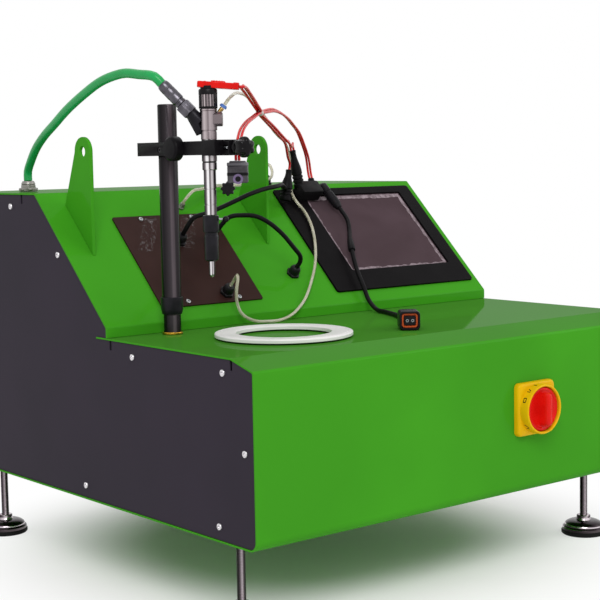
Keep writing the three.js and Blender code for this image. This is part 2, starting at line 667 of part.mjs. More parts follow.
addPiece('fan_rotor', join([
  rod(fanCentre(fanRotorLow), fanCentre(fanRotorLow + fanRotorDepth), fanHubRadius, fanSides),
  ...Array.from({ length: fanBladeCount }, (_, i) => blade(i)),
]), blackPlastic);

const inletPins = [-1, 0, 1].map((side) => prism(
  rearBox(inletX + side * inletPinPitch, inletZ, inletPinWidth, inletPinHeight, seatGap), [],
  inletPinReach + sheet, rearFrame, inletFlangeThickness - inletMouthDepth - sheet));
addPiece('power_inlet', join([
  cut(join([
    prism(rearBox(inletX, inletZ, inletFlangeWidth, inletFlangeHeight, bezelCorner), [], inletFlangeThickness,
      rearFrame, seatGap),
    prism(inletBodyOutline(0), [], inletBodyDepth, rearFrame, inletFlangeThickness - inletBodyDepth),
  ]), [prism(rearBox(inletX, inletZ, inletMouthWidth, inletMouthHeight, bezelCorner / 2), [],
    inletMouthDepth + cutOverrun, rearFrame, inletFlangeThickness + seatGap - inletMouthDepth)]),
  ...inletPins,
]), blackPlastic);

// Seat ring on the worktop, with a thin gasket under it.
const seatX = 152;
const seatY = 140;
const seatOuterRadius = 80;
const seatInnerRadius = 55;
const seatThickness = 4.5;
const seatEdge = 0.8;
const gasketThickness = 1.3;
const gasketOuterRadius = 76;
const gasketInnerRadius = 59;
const seatSides = 36;

const gasketLow = worktopHeight + seatGap;
const seatLow = gasketLow + gasketThickness + seatGap;
const seatTop = seatLow + seatThickness;
addPiece('seat_gasket', turned([
  [gasketInnerRadius, gasketLow], [gasketOuterRadius, gasketLow], [gasketOuterRadius, gasketLow + gasketThickness],
  [gasketInnerRadius, gasketLow + gasketThickness], [gasketInnerRadius, gasketLow],
], seatSides, point(seatX, seatY, 0), zAxis), blackRubber);
addPiece('seat_ring', turned([
  [seatInnerRadius, seatLow], [seatOuterRadius, seatLow], [seatOuterRadius, seatTop - seatEdge],
  [seatOuterRadius - seatEdge, seatTop], [seatInnerRadius + seatEdge, seatTop], [seatInnerRadius, seatTop - seatEdge],
  [seatInnerRadius, seatLow],
], seatSides, point(seatX, seatY, 0), zAxis), whitePlastic);

// Clamp arm: a broad bar with the post through it, a round lock boss on its left side, a raised block
// with a window that holds the injector against its rear wall, and a narrow nose for the clamp's screw.
const armHeight = 418;
const armSection = 15.6;
const armWidth = 36;
const armTailDepth = 297.6;
const armBlockRear = 163;
const armBlockFront = 139;
const armBlockRise = 0.9;
const armBlockSpread = 2;
const lockBossDepth = 217.6;
const lockBossRadius = 14;
const lockBossReach = 9.5;
const lockBossEdge = 2.5;
const lockBossSides = 24;
const noseWidth = 20;
const noseFront = 126;
const noseSlotFront = 128.5;
const noseSlotRear = 138;
const noseSlotHeight = 5.2;
const injectorY = 177;
const clampedRadius = 8.6;
const windowSlack = 0.8;
const jawDepth = 12.6;
const jawTravel = 2.5;
const jawClearance = 0.4;
const jawSpare = 0.7;
const clampScrewRadius = 4;
const clampScrewClearance = 0.4;
const screwRingRadius = 6;
const screwRingDepth = 2;
const screwBite = 5.5;
const armHoleSides = 16;

const armAt = (x, y) => point(x, y, armHeight);
const windowRear = injectorY + clampedRadius + seatGap;
const jawRear = injectorY - clampedRadius - seatGap;
const jawFront = jawRear - jawDepth;
const windowFront = jawFront - jawTravel - jawSpare - screwRingDepth - seatGap;
const windowHalf = clampedRadius + windowSlack;
const armBar = (halfWidth, front, rear, halfHeight) => block(
  point(postX - halfWidth, front, armHeight - halfHeight), point(postX + halfWidth, rear, armHeight + halfHeight));
const armLeft = postX - armWidth / 2;
const lockBossAt = (x) => armAt(x, lockBossDepth);

// Set screw through the arm's left side, bearing on the post.
const setScrewY = 252;
const setScrewZ = 417;
const setScrewRadius = 3;
const setScrewSocket = 1.6;
const setScrewSunk = 0.8;
const setScrewClearance = 0.3;
const setScrewOff = Math.max(0, Math.abs(setScrewY - postY) - setScrewRadius);
const nearestPost = postX - Math.sqrt(postRadius ** 2 - setScrewOff ** 2);
const setScrewAt = (x) => point(x, setScrewY, setScrewZ);
const setScrewTip = nearestPost - 2 * seatGap;

addPiece('clamp_arm', cut(join([
  armBar(armWidth / 2, armBlockFront, armTailDepth, armSection / 2),
  armBar(armWidth / 2 + armBlockSpread, armBlockFront, armBlockRear, armSection / 2 + armBlockRise),
  armBar(noseWidth / 2, noseFront, armBlockRear, armSection / 2),
  turned([
    [0, 0], [lockBossRadius - lockBossEdge, 0], [lockBossRadius, lockBossEdge], [lockBossRadius, lockBossReach + lockBossEdge],
    [0, lockBossReach + lockBossEdge],
  ], lockBossSides, lockBossAt(armLeft - lockBossReach), xAxis),
]), [
  rod(postAt(armHeight - armWidth), postAt(armHeight + armWidth), postRadius + postClearance, postSides),
  block(point(postX - windowHalf, windowFront, armHeight - armSection), point(postX + windowHalf, windowRear, armHeight + armSection)),
  rod(armAt(postX, noseFront - cutOverrun), armAt(postX, windowFront + cutOverrun),
    clampScrewRadius + clampScrewClearance, armHoleSides),
  block(point(postX - noseWidth / 2 - cutOverrun, noseSlotFront, armHeight - noseSlotHeight / 2),
    point(postX + noseWidth / 2 + cutOverrun, noseSlotRear, armHeight + noseSlotHeight / 2)),
  rod(setScrewAt(armLeft - cutOverrun), setScrewAt(postX), setScrewRadius + setScrewClearance, armHoleSides),
]), blackMetal);
addPiece('collar_screw', cut(
  rod(setScrewAt(armLeft + setScrewSunk), setScrewAt(setScrewTip), setScrewRadius, armHoleSides),
  [rod(setScrewAt(armLeft), setScrewAt(share(0.5, armLeft + setScrewSunk, setScrewTip)), setScrewSocket, nutSides)],
), brightSteel);

// Clamp jaw, its screw, and the lobed knob that turns the screw.
const screwTip = jawFront + screwBite;
const jawBoreEnd = screwTip + jawTravel + jawSpare;
addPiece('clamp_jaw', cut(
  block(point(postX - windowHalf + jawClearance, jawFront, armHeight - armSection / 2),
    point(postX + windowHalf - jawClearance, jawRear, armHeight + armSection / 2)),
  [rod(armAt(postX, jawFront - cutOverrun), armAt(postX, jawBoreEnd), clampScrewRadius + clampScrewClearance, armHoleSides)],
), brightSteel);

const knobGripRadius = 11.6;
const knobLobeDepth = 2.2;
const knobLobes = 6;
const knobLength = 18;
// The grip is rounded at both ends. Its profile lists shares of its radius and of its length.
const knobProfile = [[0, 0], [0.62, 0], [0.88, 0.12], [1, 0.34], [1, 0.66], [0.88, 0.88], [0.62, 1], [0, 1]];
const hubRadius = 7.8;
const hubLength = 5;
const knobBoreDepth = 15;
const lobeSteps = 5;

const knobRear = noseFront - seatGap;
const hubFront = knobRear - hubLength;
const knobGrip = turned(knobProfile.map(([radius, at]) => [radius * knobGripRadius, at * knobLength]),
  knobLobes * lobeSteps, point(0, 0, 0), yAxis);
const gripPlaces = knobGrip.attributes.position;
for (let i = 0; i < gripPlaces.count; i += 1) {
  const angle = knobLobes * Math.atan2(gripPlaces.getX(i), gripPlaces.getZ(i));
  const fluted = 1 - knobLobeDepth / knobGripRadius * (1 - Math.cos(angle)) / 2;
  gripPlaces.setXYZ(i, gripPlaces.getX(i) * fluted, gripPlaces.getY(i), gripPlaces.getZ(i) * fluted);
}
knobGrip.translate(postX, hubFront - knobLength, armHeight);
addPiece('clamp_screw', join([
  rod(armAt(postX, screwTip), armAt(postX, knobRear - knobBoreDepth + seatGap), clampScrewRadius, armHoleSides),
  rod(armAt(postX, windowFront + seatGap), armAt(postX, windowFront + seatGap + screwRingDepth), screwRingRadius, armHoleSides),
]), brightSteel);
addPiece('clamp_knob', cut(join([
  rod(armAt(postX, knobRear), armAt(postX, hubFront - hubLength), hubRadius, armHoleSides),
  knobGrip,
]), [rod(armAt(postX, knobRear + cutOverrun), armAt(postX, knobRear - knobBoreDepth),
  clampScrewRadius + seatGap, armHoleSides)]), blackPlastic);

// Injector under test. Heights are those of its steps, from the nozzle's tip up.
const injectorSides = 16;
const tipHeight = 272;
const tipRadius = 3.5;
const tipEndShare = 0.6;
const nozzleNutRadius = 6.5;
const sleeveLow = 290;
const sleeveWaistLow = 319;
const sleeveWaistHigh = 323;
const sleeveTop = 342;
const sleeveLowerRadius = 8;
const sleeveWaistRadius = 7.4;
const sleeveUpperRadius = 9.05;
const sleeveLipRadius = 5.5;
const sleeveTaper = 2;
const stemRadius = 7;
const stemGrooveHeight = 354;
const grooveHeight = 1;
const grooveDepth = 0.5;
const shoulderHeight = 393.4;
const shoulderRadius = 8.3;
const sealHeight = 401.5;
const sealTop = 403;
const bodyStepHeight = 427.7;
const bodyStepRadius = 9;
const headGrooveHeight = 436.5;
const headRadius = 9.6;
const headTop = 459.5;
const collarTop = 461.8;
const collarRadius = 9.9;
const coilCapRadius = 10.6;
const coilCapTop = 484;
const coilRibCount = 3;

const injectorAt = (z) => point(postX, injectorY, z);
const turnedInjector = (profile, sides = injectorSides) => turned(profile, sides, injectorAt(0), zAxis);
const nozzleSeat = sleeveLow + sleeveTaper;
addPiece('injector_nozzle', turnedInjector([
  [0, tipHeight], [tipRadius * tipEndShare, tipHeight + seatGap], [tipRadius, tipHeight + tipRadius],
  [tipRadius, nozzleSeat], [nozzleNutRadius, nozzleSeat + sleeveTaper], [nozzleNutRadius, sleeveTop],
  [0, sleeveTop],
]), brightSteel);
addPiece('nozzle_sleeve', turnedInjector([
  [tipRadius + seatGap, sleeveLow], [sleeveLipRadius, sleeveLow], [sleeveLowerRadius, nozzleSeat],
  [sleeveLowerRadius, sleeveWaistLow], [sleeveWaistRadius, sleeveWaistLow], [sleeveWaistRadius, sleeveWaistHigh],
  [sleeveUpperRadius, sleeveWaistHigh], [sleeveUpperRadius, sleeveTop], [nozzleNutRadius + seatGap, sleeveTop],
  [nozzleNutRadius + seatGap, nozzleSeat + sleeveTaper - seatGap], [tipRadius + seatGap, nozzleSeat - seatGap],
  [tipRadius + seatGap, sleeveLow],
]), blackMetal);

const toRight = point(0.77, -0.64, 0).normalize();
const portHeight = 450;
const portHalf = 8;
const portChamfer = 3;
const portReach = 16;
const bodyProfile = (grow) => [
  [0, sleeveTop + seatGap - grow], [stemRadius + grow, sleeveTop + seatGap - grow],
  [stemRadius + grow, stemGrooveHeight], [stemRadius + grow - grooveDepth, stemGrooveHeight],
  [stemRadius + grow - grooveDepth, stemGrooveHeight + grooveHeight], [stemRadius + grow, stemGrooveHeight + grooveHeight],
  [stemRadius + grow, shoulderHeight], [shoulderRadius + grow, shoulderHeight], [shoulderRadius + grow, sealHeight],
  [shoulderRadius + grow - grooveDepth, sealHeight], [shoulderRadius + grow - grooveDepth, sealTop],
  [clampedRadius + grow, sealTop], [clampedRadius + grow, bodyStepHeight], [bodyStepRadius + grow, bodyStepHeight],
  [bodyStepRadius + grow, headGrooveHeight], [bodyStepRadius + grow - grooveDepth, headGrooveHeight],
  [bodyStepRadius + grow - grooveDepth, headGrooveHeight + grooveHeight], [headRadius + grow, headGrooveHeight + grooveHeight],
  [headRadius + grow, headTop], [collarRadius + grow, headTop], [collarRadius + grow, collarTop + grow], [0, collarTop + grow],
];
const portFrame = new THREE.Matrix4().makeBasis(zAxis.clone().cross(toRight), zAxis, toRight)
  .setPosition(injectorAt(portHeight));
const portShape = (grow) => {
  const half = portHalf + grow;
  const flat = half - portChamfer;
  return prism([[half, -flat], [half, flat], [flat, half], [-flat, half], [-half, flat], [-half, -flat],
    [-flat, -half], [flat, -half]], [], portReach + grow, portFrame);
};
const injectorShape = (grow) => join([turnedInjector(bodyProfile(grow)), portShape(grow)]);
addPiece('injector_body', injectorShape(0), brightSteel);

const capLow = collarTop + seatGap;
const ribPitch = (coilCapTop - capLow) / (2 * coilRibCount + 1);
addPiece('injector_coil_cap', turnedInjector([
  [0, capLow],
  ...Array.from({ length: 2 * coilRibCount + 1 }, (_, i) => coilCapRadius - (i % 2) * 2 * grooveDepth)
    .flatMap((radius, i) => [[radius, capLow + i * ribPitch], [radius, capLow + (i + 1) * ribPitch]]),
  [0, coilCapTop],
]), blackPlastic);

// Red plug on the coil: a long housing across the injector, with a latch on top.
const plugRearReach = 12;
const plugFrontReach = 35;
const plugWidth = 15;
const plugHeight = 7;
const plugCorner = 3;
const latchLength = 16;
const latchWidth = 8;
const latchHeight = 2.4;
// The plug leans down to the right, and its underside clears the coil's edge.
const plugLean = 0.085;
const plugLow = coilCapTop + seatGap + coilCapRadius * plugLean;
const plugAlong = along(toRight, zAxis, -plugLean).normalize();
const plugUp = plugAlong.clone().cross(zAxis.clone().cross(toRight));
const plugFrame = new THREE.Matrix4().makeBasis(plugAlong, zAxis.clone().cross(toRight), plugUp)
  .setPosition(postX, injectorY, plugLow);
const plugMiddle = (plugFrontReach - plugRearReach) / 2;
addPiece('injector_plug', join([
  prism(roundedBox(plugMiddle, 0, plugFrontReach + plugRearReach, plugWidth, plugCorner, cornerSteps), [],
    plugHeight, plugFrame),
  prism(roundedBox(plugMiddle, 0, latchLength, latchWidth, seatGap, 1), [], plugHeight + latchHeight, plugFrame),
]), redPlastic);

// High-pressure inlet, hose nut and ferrule. The inlet leans back to the left, the hose leans further.
const inletStart = point(72.4, 183.6, 434);
const inletEnd = point(65.1, 190.9, 457.1);
const inletStartRadius = 5.2;
const inletEndRadius = 7.2;
const inletRoot = point(73, 183, 447.5);
const inletRootRadius = 6.8;
const hoseDirection = point(-1, 1, 1.46).normalize();
const hoseNutLength = 14;
const hoseNutRadius = 9.4;
const ferruleLength = 32;
const ferruleRadius = 7.2;
const ferruleLipRadius = 6.2;
const ferruleLip = 3;
const hoseSides = 10;

const nutStart = along(inletEnd, hoseDirection, seatGap);
const nutEnd = along(nutStart, hoseDirection, hoseNutLength);
const ferruleStart = along(nutEnd, hoseDirection, seatGap);
const ferruleEnd = along(ferruleStart, hoseDirection, ferruleLength);
const inletAxis = inletEnd.clone().sub(inletStart).normalize();
addPiece('high_pressure_inlet', cut(
  join([
    rod(inletStart, along(inletEnd, inletAxis, inletEndRadius), inletStartRadius, injectorSides, inletEndRadius),
    rod(inletRoot, along(inletEnd, hoseDirection, inletEndRadius), inletRootRadius, injectorSides, inletEndRadius),
  ]),
  [injectorShape(seatGap), rod(inletEnd, along(inletEnd, hoseDirection, 2 * ferruleLength), ferruleLength, nutSides)],
), blackMetal);
addPiece('hose_nut', rod(nutStart, nutEnd, hoseNutRadius, nutSides), brightSteel);
addPiece('hose_ferrule', turned([
  [0, 0], [ferruleRadius, 0], [ferruleRadius, ferruleLength - ferruleLip], [ferruleLipRadius, ferruleLength],
  [0, ferruleLength],
], hoseSides, ferruleStart, hoseDirection), brightSteel);

// Return union on the side port's flat top, with the blue release ring of its push-in fitting.
const unionReach = 12.6;
const unionRadius = 2.5;
const unionLength = 5.5;
const unionLean = 0.75;
const unionTrimReach = 11.2;
const pushRingRadius = 4.3;
const pushRingLength = 3.6;
const unionDirection = along(zAxis, toRight, unionLean).normalize();
const unionFoot = along(injectorAt(portHeight + portHalf + seatGap), toRight, unionReach);
const unionEnd = along(unionFoot, unionDirection, unionLength);
const pushRingStart = along(unionEnd, unionDirection, seatGap);
const pushRingEnd = along(pushRingStart, unionDirection, pushRingLength);
addPiece('return_union', cut(
  rod(along(unionFoot, unionDirection, -2 * unionRadius), unionEnd, unionRadius, glandSides),
  [block(unionFoot.clone().subScalar(unionTrimReach),
    point(unionFoot.x + unionTrimReach, unionFoot.y + unionTrimReach, unionFoot.z))],
), brass);
addPiece('return_push_ring', rod(pushRingStart, pushRingEnd, pushRingRadius, glandSides), bluePlastic);

// Ball-headed thumb screw that locks the sleeve.
const thumbHeight = 337.5;
const thumbStemRadius = 1.6;
const thumbStemLength = 4.5;
const thumbBallRadius = 3.7;
const thumbSides = 12;
const thumbSinkShare = 0.8;
const thumbAt = (reach) => along(injectorAt(thumbHeight), toRight, reach);
const thumbStart = sleeveUpperRadius + seatGap;
addPiece('sleeve_screw', join([
  rod(thumbAt(thumbStart), thumbAt(thumbStart + thumbStemLength), thumbStemRadius, thumbSides),
  new THREE.SphereGeometry(thumbBallRadius, thumbSides, thumbSides / 2)
    .translate(...thumbAt(thumbStart + thumbStemLength + thumbBallRadius * thumbSinkShare).toArray()),
]), blackPlastic);

// Motor, shaft coupling and high-pressure pump on the base, on one shaft line.
const shaftY = 460;
const shaftZ = 84;
const motorLeft = 70;
const motorLength = 220;
const motorRadius = 65;
const motorFinCount = 12;
const motorFinDepth = 4;
const motorFootWidth = 130;
const motorFootHeight = 12;
const motorFootInset = 30;
const motorWebWidth = 60;
const couplingGap = 12;
const couplingRadius = 28;
const couplingLength = 56;
const driveShaftRadius = 9;
const driveShaftReach = 20;
const driveShaftClearance = 0.6;
const pumpLength = 110;
const pumpRadius = 44;
const pumpFlangeRadius = 56;
const pumpFlangeLength = 14;
const pumpPortRadius = 9;
const pumpPortHeight = 18;
const driveSides = 20;

const floorLevel = sheet + seatGap;
const shaftAt = (x) => point(x, shaftY, shaftZ);
const motorRight = motorLeft + motorLength;
const couplingLeft = motorRight + couplingGap;
const couplingRight = couplingLeft + couplingLength;
const pumpLeft = couplingRight + couplingGap;
const pumpRight = pumpLeft + pumpLength;
const shaftBore = (from, to) => rod(shaftAt(from), shaftAt(to), driveShaftRadius + driveShaftClearance, driveSides);
const footBlock = (left, right, width) => join([
  block(point(left, shaftY - width / 2, floorLevel), point(right, shaftY + width / 2, floorLevel + motorFootHeight)),
  block(point(left, shaftY - motorWebWidth / 2, floorLevel), point(right, shaftY + motorWebWidth / 2, shaftZ)),
]);
const finned = Array.from({ length: 4 * motorFinCount }, (_, i) => {
  const angle = 2 * Math.PI * (i + 0.5) / (4 * motorFinCount);
  const radius = motorRadius - (i % 4 < 2 ? 0 : motorFinDepth);
  return [shaftY + radius * Math.cos(angle), shaftZ + radius * Math.sin(angle)];
});
addPiece('drive_motor', cut(join([
  prism(finned, [], motorLength - 2 * motorFinDepth, sideFrame, motorLeft + motorFinDepth),
  rod(shaftAt(motorLeft), shaftAt(motorRight), motorRadius - motorFinDepth, driveSides),
  footBlock(motorLeft + motorFootInset, motorRight - motorFootInset, motorFootWidth),
]), [shaftBore(motorRight - driveShaftReach, motorRight + cutOverrun)]), castMetal);
addPiece('shaft_coupling', join([
  rod(shaftAt(couplingLeft), shaftAt(couplingRight), couplingRadius, nutSides * 2),
  rod(shaftAt(motorRight - driveShaftReach + seatGap), shaftAt(pumpLeft + driveShaftReach - seatGap), driveShaftRadius, driveSides),
]), brightSteel);
addPiece('high_pressure_pump', cut(join([
  rod(shaftAt(pumpLeft + pumpFlangeLength / 2), shaftAt(pumpRight), pumpRadius, driveSides),
  rod(shaftAt(pumpLeft), shaftAt(pumpLeft + pumpFlangeLength), pumpFlangeRadius, driveSides),
  rod(point((pumpLeft + pumpRight) / 2, shaftY, shaftZ),
    point((pumpLeft + pumpRight) / 2, shaftY, shaftZ + pumpRadius + pumpPortHeight), pumpPortRadius, nutSides),
  footBlock(pumpLeft, pumpLeft + pumpFlangeLength, motorFootWidth),
]), [shaftBore(pumpLeft - cutOverrun, pumpLeft + driveShaftReach)]), castMetal);

// Common rail on two pedestals, with its outlets.
const railLeft = 60;
const railLength = 250;
const railY = 150;
const railZ = 118;
const railRadius = 14;
const railOutlets = 4;
const outletRadius = 6;
const outletRise = 12;
const pedestalWidth = 22;
const pedestalDepth = 46;
const pedestalShares = [0.12, 0.88];
const railAt = (x, rise = 0) => point(x, railY, railZ + rise);
addPiece('common_rail', join([
  rod(railAt(railLeft), railAt(railLeft + railLength), railRadius, driveSides),
  ...Array.from({ length: railOutlets }, (_, i) => railLeft + railLength * (i + 1) / (railOutlets + 1))
    .map((x) => rod(railAt(x), railAt(x, railRadius + outletRise), outletRadius, nutSides)),
  ...pedestalShares.map((part) => railLeft + railLength * part).map((x) => block(
    point(x - pedestalWidth / 2, railY - pedestalDepth / 2, floorLevel),
    point(x + pedestalWidth / 2, railY + pedestalDepth / 2, railZ))),
]), brightSteel);

// Test oil tank with its screw cap.
const tankLeft = 350;
const tankRight = 590;
const tankFront = 96;
const tankRear = 250;
const tankTop = 150;
const tankCorner = 14;
const neckRadius = 18;
const neckRise = 14;
const capRadius = 25;
const capDepth = 16;
const capWall = 4;
const capGrips = 12;
const neckX = tankRight - 2 * capRadius;
const neckY = (tankFront + tankRear) / 2;
const neckAt = (z) => point(neckX, neckY, z);
const tankCapLow = tankTop + neckRise - capDepth / 2;
addPiece('oil_tank', join([
  prism(boxOutline(tankLeft, tankRight, tankFront, tankRear, tankCorner), [], tankTop - floorLevel, levelFrame, floorLevel),
  rod(neckAt(tankTop - capWall), neckAt(tankTop + neckRise), neckRadius, driveSides),
]), whitePlastic);
addPiece('tank_cap', turned([
  [neckRadius + capWall / 4, tankCapLow], [capRadius, tankCapLow], [capRadius, tankCapLow + capDepth],
  [0, tankCapLow + capDepth], [0, tankTop + neckRise + seatGap], [neckRadius + capWall / 4, tankTop + neckRise + seatGap],
  [neckRadius + capWall / 4, tankCapLow],
], 2 * capGrips, neckAt(0), zAxis), blackPlastic);

// Cords. Each route is a list of points that its centre line follows, chosen by hand.
function cord(places, radius, sidesAround, steps) {
  const section = new THREE.Shape(circle(0, 0, radius, sidesAround).map(([x, y]) => new THREE.Vector2(x, y)));
  const path = new THREE.CatmullRomCurve3(places, false, 'centripetal');
  return new THREE.ExtrudeGeometry(section, { steps, bevelEnabled: false, extrudePath: path });
}
const route = (places) => places.map(([x, y, z]) => point(x, y, z));
const straightOut = (end, direction, reach) => [along(end, direction, seatGap), along(end, direction, seatGap + reach)];
const thinSides = 8;

// High-pressure hose from the deck's port to the ferrule.
const hoseRadius = 5.5;
const hoseSteps = 24;
const hosePortTop = along(hosePortFoot, zAxis, glandFlangeHeight + glandCapHeight);
const hoseRoute = [
  ...straightOut(hosePortTop, zAxis, 2 * hoseRadius),
  ...route([
    [47, 530, 407], [42, 505, 424], [37, 474, 439], [32, 440, 452], [28, 400, 469], [25.5, 354, 486], [25, 319, 497.5],
    [26.3, 292.9, 503], [28.8, 269.3, 505.4], [32, 247, 503],
  ]),
  ...straightOut(ferruleEnd, hoseDirection, 2 * hoseRadius).reverse(),
];
addPiece('high_pressure_hose', cord(hoseRoute, hoseRadius, hoseSides, hoseSteps), greenHose);

// Boots and connectors of the adapter leads. A block with two tall boots stands on the screen's frame at
// the console's top edge, and the last connector lies on the worktop.
const bootBlockSize = [36, 22, 18];
const bootBlockUp = 197;
const bootBlockX = 416;
const bootTop = point(391, 415, 415);
const rearBootTop = point(429, 422, 375);
const bootRadius = 7.4;
const bootTopRadius = 4.4;
const rearBootRadius = 5.6;
const worktopPlugPlace = [300, 88];
const plugFacing = point(-0.6, -0.8, 0);
const worktopPlugLength = 34;
const worktopPlugWidth = 25;
const worktopPlugHeight = 23;
const blockBase = bezelThickness + 2 * seatGap;
const blockAt = (dx, up, out) => onSlope(bootBlockX + dx, bootBlockUp + up, blockBase + out);
const blockFrame = new THREE.Matrix4().makeBasis(xAxis, slopeUp, slopeNormal).setPosition(blockAt(0, 0, 0));
const bootFoot = blockAt(-bootBlockSize[0] / 3, bootBlockSize[1] / 4, bootBlockSize[2] / 2);
const rearBootFoot = blockAt(bootBlockSize[0] / 3, bootBlockSize[1] / 4, bootBlockSize[2] / 2);
addPiece('boot_block', join([
  prism(roundedBox(0, 0, bootBlockSize[0], bootBlockSize[1], plugCorner, cornerSteps), [], bootBlockSize[2], blockFrame),
  rod(bootFoot, bootTop, bootRadius, glandSides, bootTopRadius),
  rod(rearBootFoot, rearBootTop, rearBootRadius, glandSides, bootTopRadius),
]), blackPlastic);
const worktopPlugCentre = point(...worktopPlugPlace, worktopHeight + seatGap + worktopPlugHeight / 2);
const worktopPlugFrame = new THREE.Matrix4().makeBasis(plugFacing.clone().cross(zAxis).negate(), zAxis, plugFacing.clone())
  .setPosition(worktopPlugCentre);
addPiece('worktop_plug', prism(roundedBox(0, 0, worktopPlugWidth, worktopPlugHeight, plugCorner, cornerSteps), [],
  worktopPlugLength, worktopPlugFrame, -worktopPlugLength / 2), blackPlastic);

// Grey two-pin connector that hangs beside the injector.
const hangingTop = point(103.5, 157, 403);
const hangingWidth = 24;
const hangingDepth = 15;
const hangingHeight = 25;
const hangingFrame = new THREE.Matrix4().makeBasis(toRight, zAxis.clone().cross(toRight), zAxis)
  .setPosition(along(hangingTop, zAxis, -hangingHeight));
const hangingCapRadius = 8.4;
const hangingCapLobeDepth = 1.8;
const hangingCapLobes = 8;
const hangingCapThickness = 10;
const hangingCapPlace = [-11.5, -6];
const hangingCapOutline = Array.from({ length: hangingCapLobes * lobeSteps }, (_, i) => {
  const angle = 2 * Math.PI * i / (hangingCapLobes * lobeSteps);
  const radius = hangingCapRadius - hangingCapLobeDepth / 2 + hangingCapLobeDepth / 2 * Math.cos(hangingCapLobes * angle);
  return [hangingCapPlace[0] + radius * Math.cos(angle), hangingCapPlace[1] + radius * Math.sin(angle)];
});
const hangingCapFrame = new THREE.Matrix4().makeBasis(toRight, zAxis, toRight.clone().cross(zAxis))
  .setPosition(along(hangingTop, zAxis, -hangingHeight));
addPiece('hanging_connector', join([
  prism(roundedBox(0, 0, hangingWidth, hangingDepth, plugCorner, cornerSteps), [], hangingHeight, hangingFrame),
  prism(hangingCapOutline, [], hangingCapThickness, hangingCapFrame, -hangingCapThickness / 2),
]), greyPlastic);

// Control cable: from its gland past the right cover ear to a long moulded boot beside the block.
const cableRadius = 3;
const cableSteps = 22;
const sideBootTop = point(375.6, 404, 388.5);
const sideBootFoot = point(366.5, 403, 347);
const sideBootRadius = 8;
const cableEntryShare = 0.35;
const cableEntry = sideBootFoot.clone().lerp(sideBootTop, cableEntryShare);
const controlRoute = [
  ...straightOut(plateGlandTop(plateGlands.cableA), slopeNormal, 3 * cableRadius),
  ...route([
    [172, 344, 332], [190, 342, 337], [214, 341, 344], [236, 339, 352], [259, 338, 360], [284, 340, 365.5],
    [304, 343, 368], [322, 354, 369.5], [344, 378, 367.5],
  ]),
  cableEntry,
];
addPiece('control_cable', join([
  cord(controlRoute, cableRadius, thinSides, cableSteps),
  rod(sideBootFoot, sideBootTop, sideBootRadius, glandSides, bootTopRadius),
]), blackPlastic);

// Sensor cable: a short arch from its gland on the plate to the gland beside the screen.
const cableEndTop = along(cableEndFoot, slopeNormal, glandFlangeHeight + glandCapHeight);
const sensorCableRoute = [
  ...straightOut(plateGlandTop(plateGlands.cableB), slopeNormal, 3 * cableRadius),
  ...route([
    [222, 336, 331], [238, 329, 333], [254, 321, 331], [269, 313, 322], [284, 305, 307], [298, 301, 290],
    [308, 300, 278],
  ]),
  ...straightOut(cableEndTop, slopeNormal, 3 * cableRadius).reverse(),
];
addPiece('sensor_cable', cord(sensorCableRoute, cableRadius, thinSides, cableSteps), blackPlastic);

// Adapter lead: from the block through an inline joint on the screen and a small boot to the plug on the
// worktop. The joint and the boot are moulded on the lead.
const leadSteps = 36;
const inlineStart = point(446, 419, 366);
const inlineEnd = point(451.5, 387.5, 334);
const inlineRadius = 6.5;
const leadBootStart = point(430.5, 342, 292.5);
const leadBootEnd = point(421, 327, 278);
const leadBootRadius = 5;
const leadBootEndShare = 0.7;
const plugRear = along(worktopPlugCentre, plugFacing, -worktopPlugLength / 2);
const leadRoute = [
  ...straightOut(blockAt(bootBlockSize[0] / 2, 0, bootBlockSize[2] / 2), xAxis, 2 * cableRadius),
  inlineStart, inlineEnd, ...route([[450.5, 370, 318], [442, 356, 304]]), leadBootStart, leadBootEnd,
  ...route([[410, 305, 254], [404, 286, 234], [400, 270, 215], [397, 252, 204.5], [390, 228, 203.5], [376, 194, 203.5],
    [357, 160, 204], [336, 131, 208]]),
  ...straightOut(plugRear, plugFacing.clone().negate(), 3 * cableRadius).reverse(),
];
addPiece('adapter_lead', join([
  cord(leadRoute, cableRadius, thinSides, leadSteps),
  rod(inlineStart, inlineEnd, inlineRadius, glandSides),
  rod(leadBootStart, leadBootEnd, leadBootRadius * leadBootEndShare, glandSides, leadBootRadius),
]), blackPlastic);

// Red signal wires: three from the plug and two from the hanging connector run through one sleeve and
// part again to the boots.
const wireRadius = 1.6;
const wireStepLength = 15;
const wirePitch = 3.6;
const wireRing = 2.6;
const wireSleeveRadius = 4.4;
const sleeveLength = 9;
const sleevePlace = point(216, 260, 461.5);
const sleeveDirection = point(0.72, 0.66, -0.2).normalize();
const bundleAcross = point(0.66, -0.72, 0).normalize();
const plugAcross = zAxis.clone().cross(toRight);
const plugFace = along(along(injectorAt(plugLow), plugAlong, plugFrontReach), plugUp, plugHeight / 2);
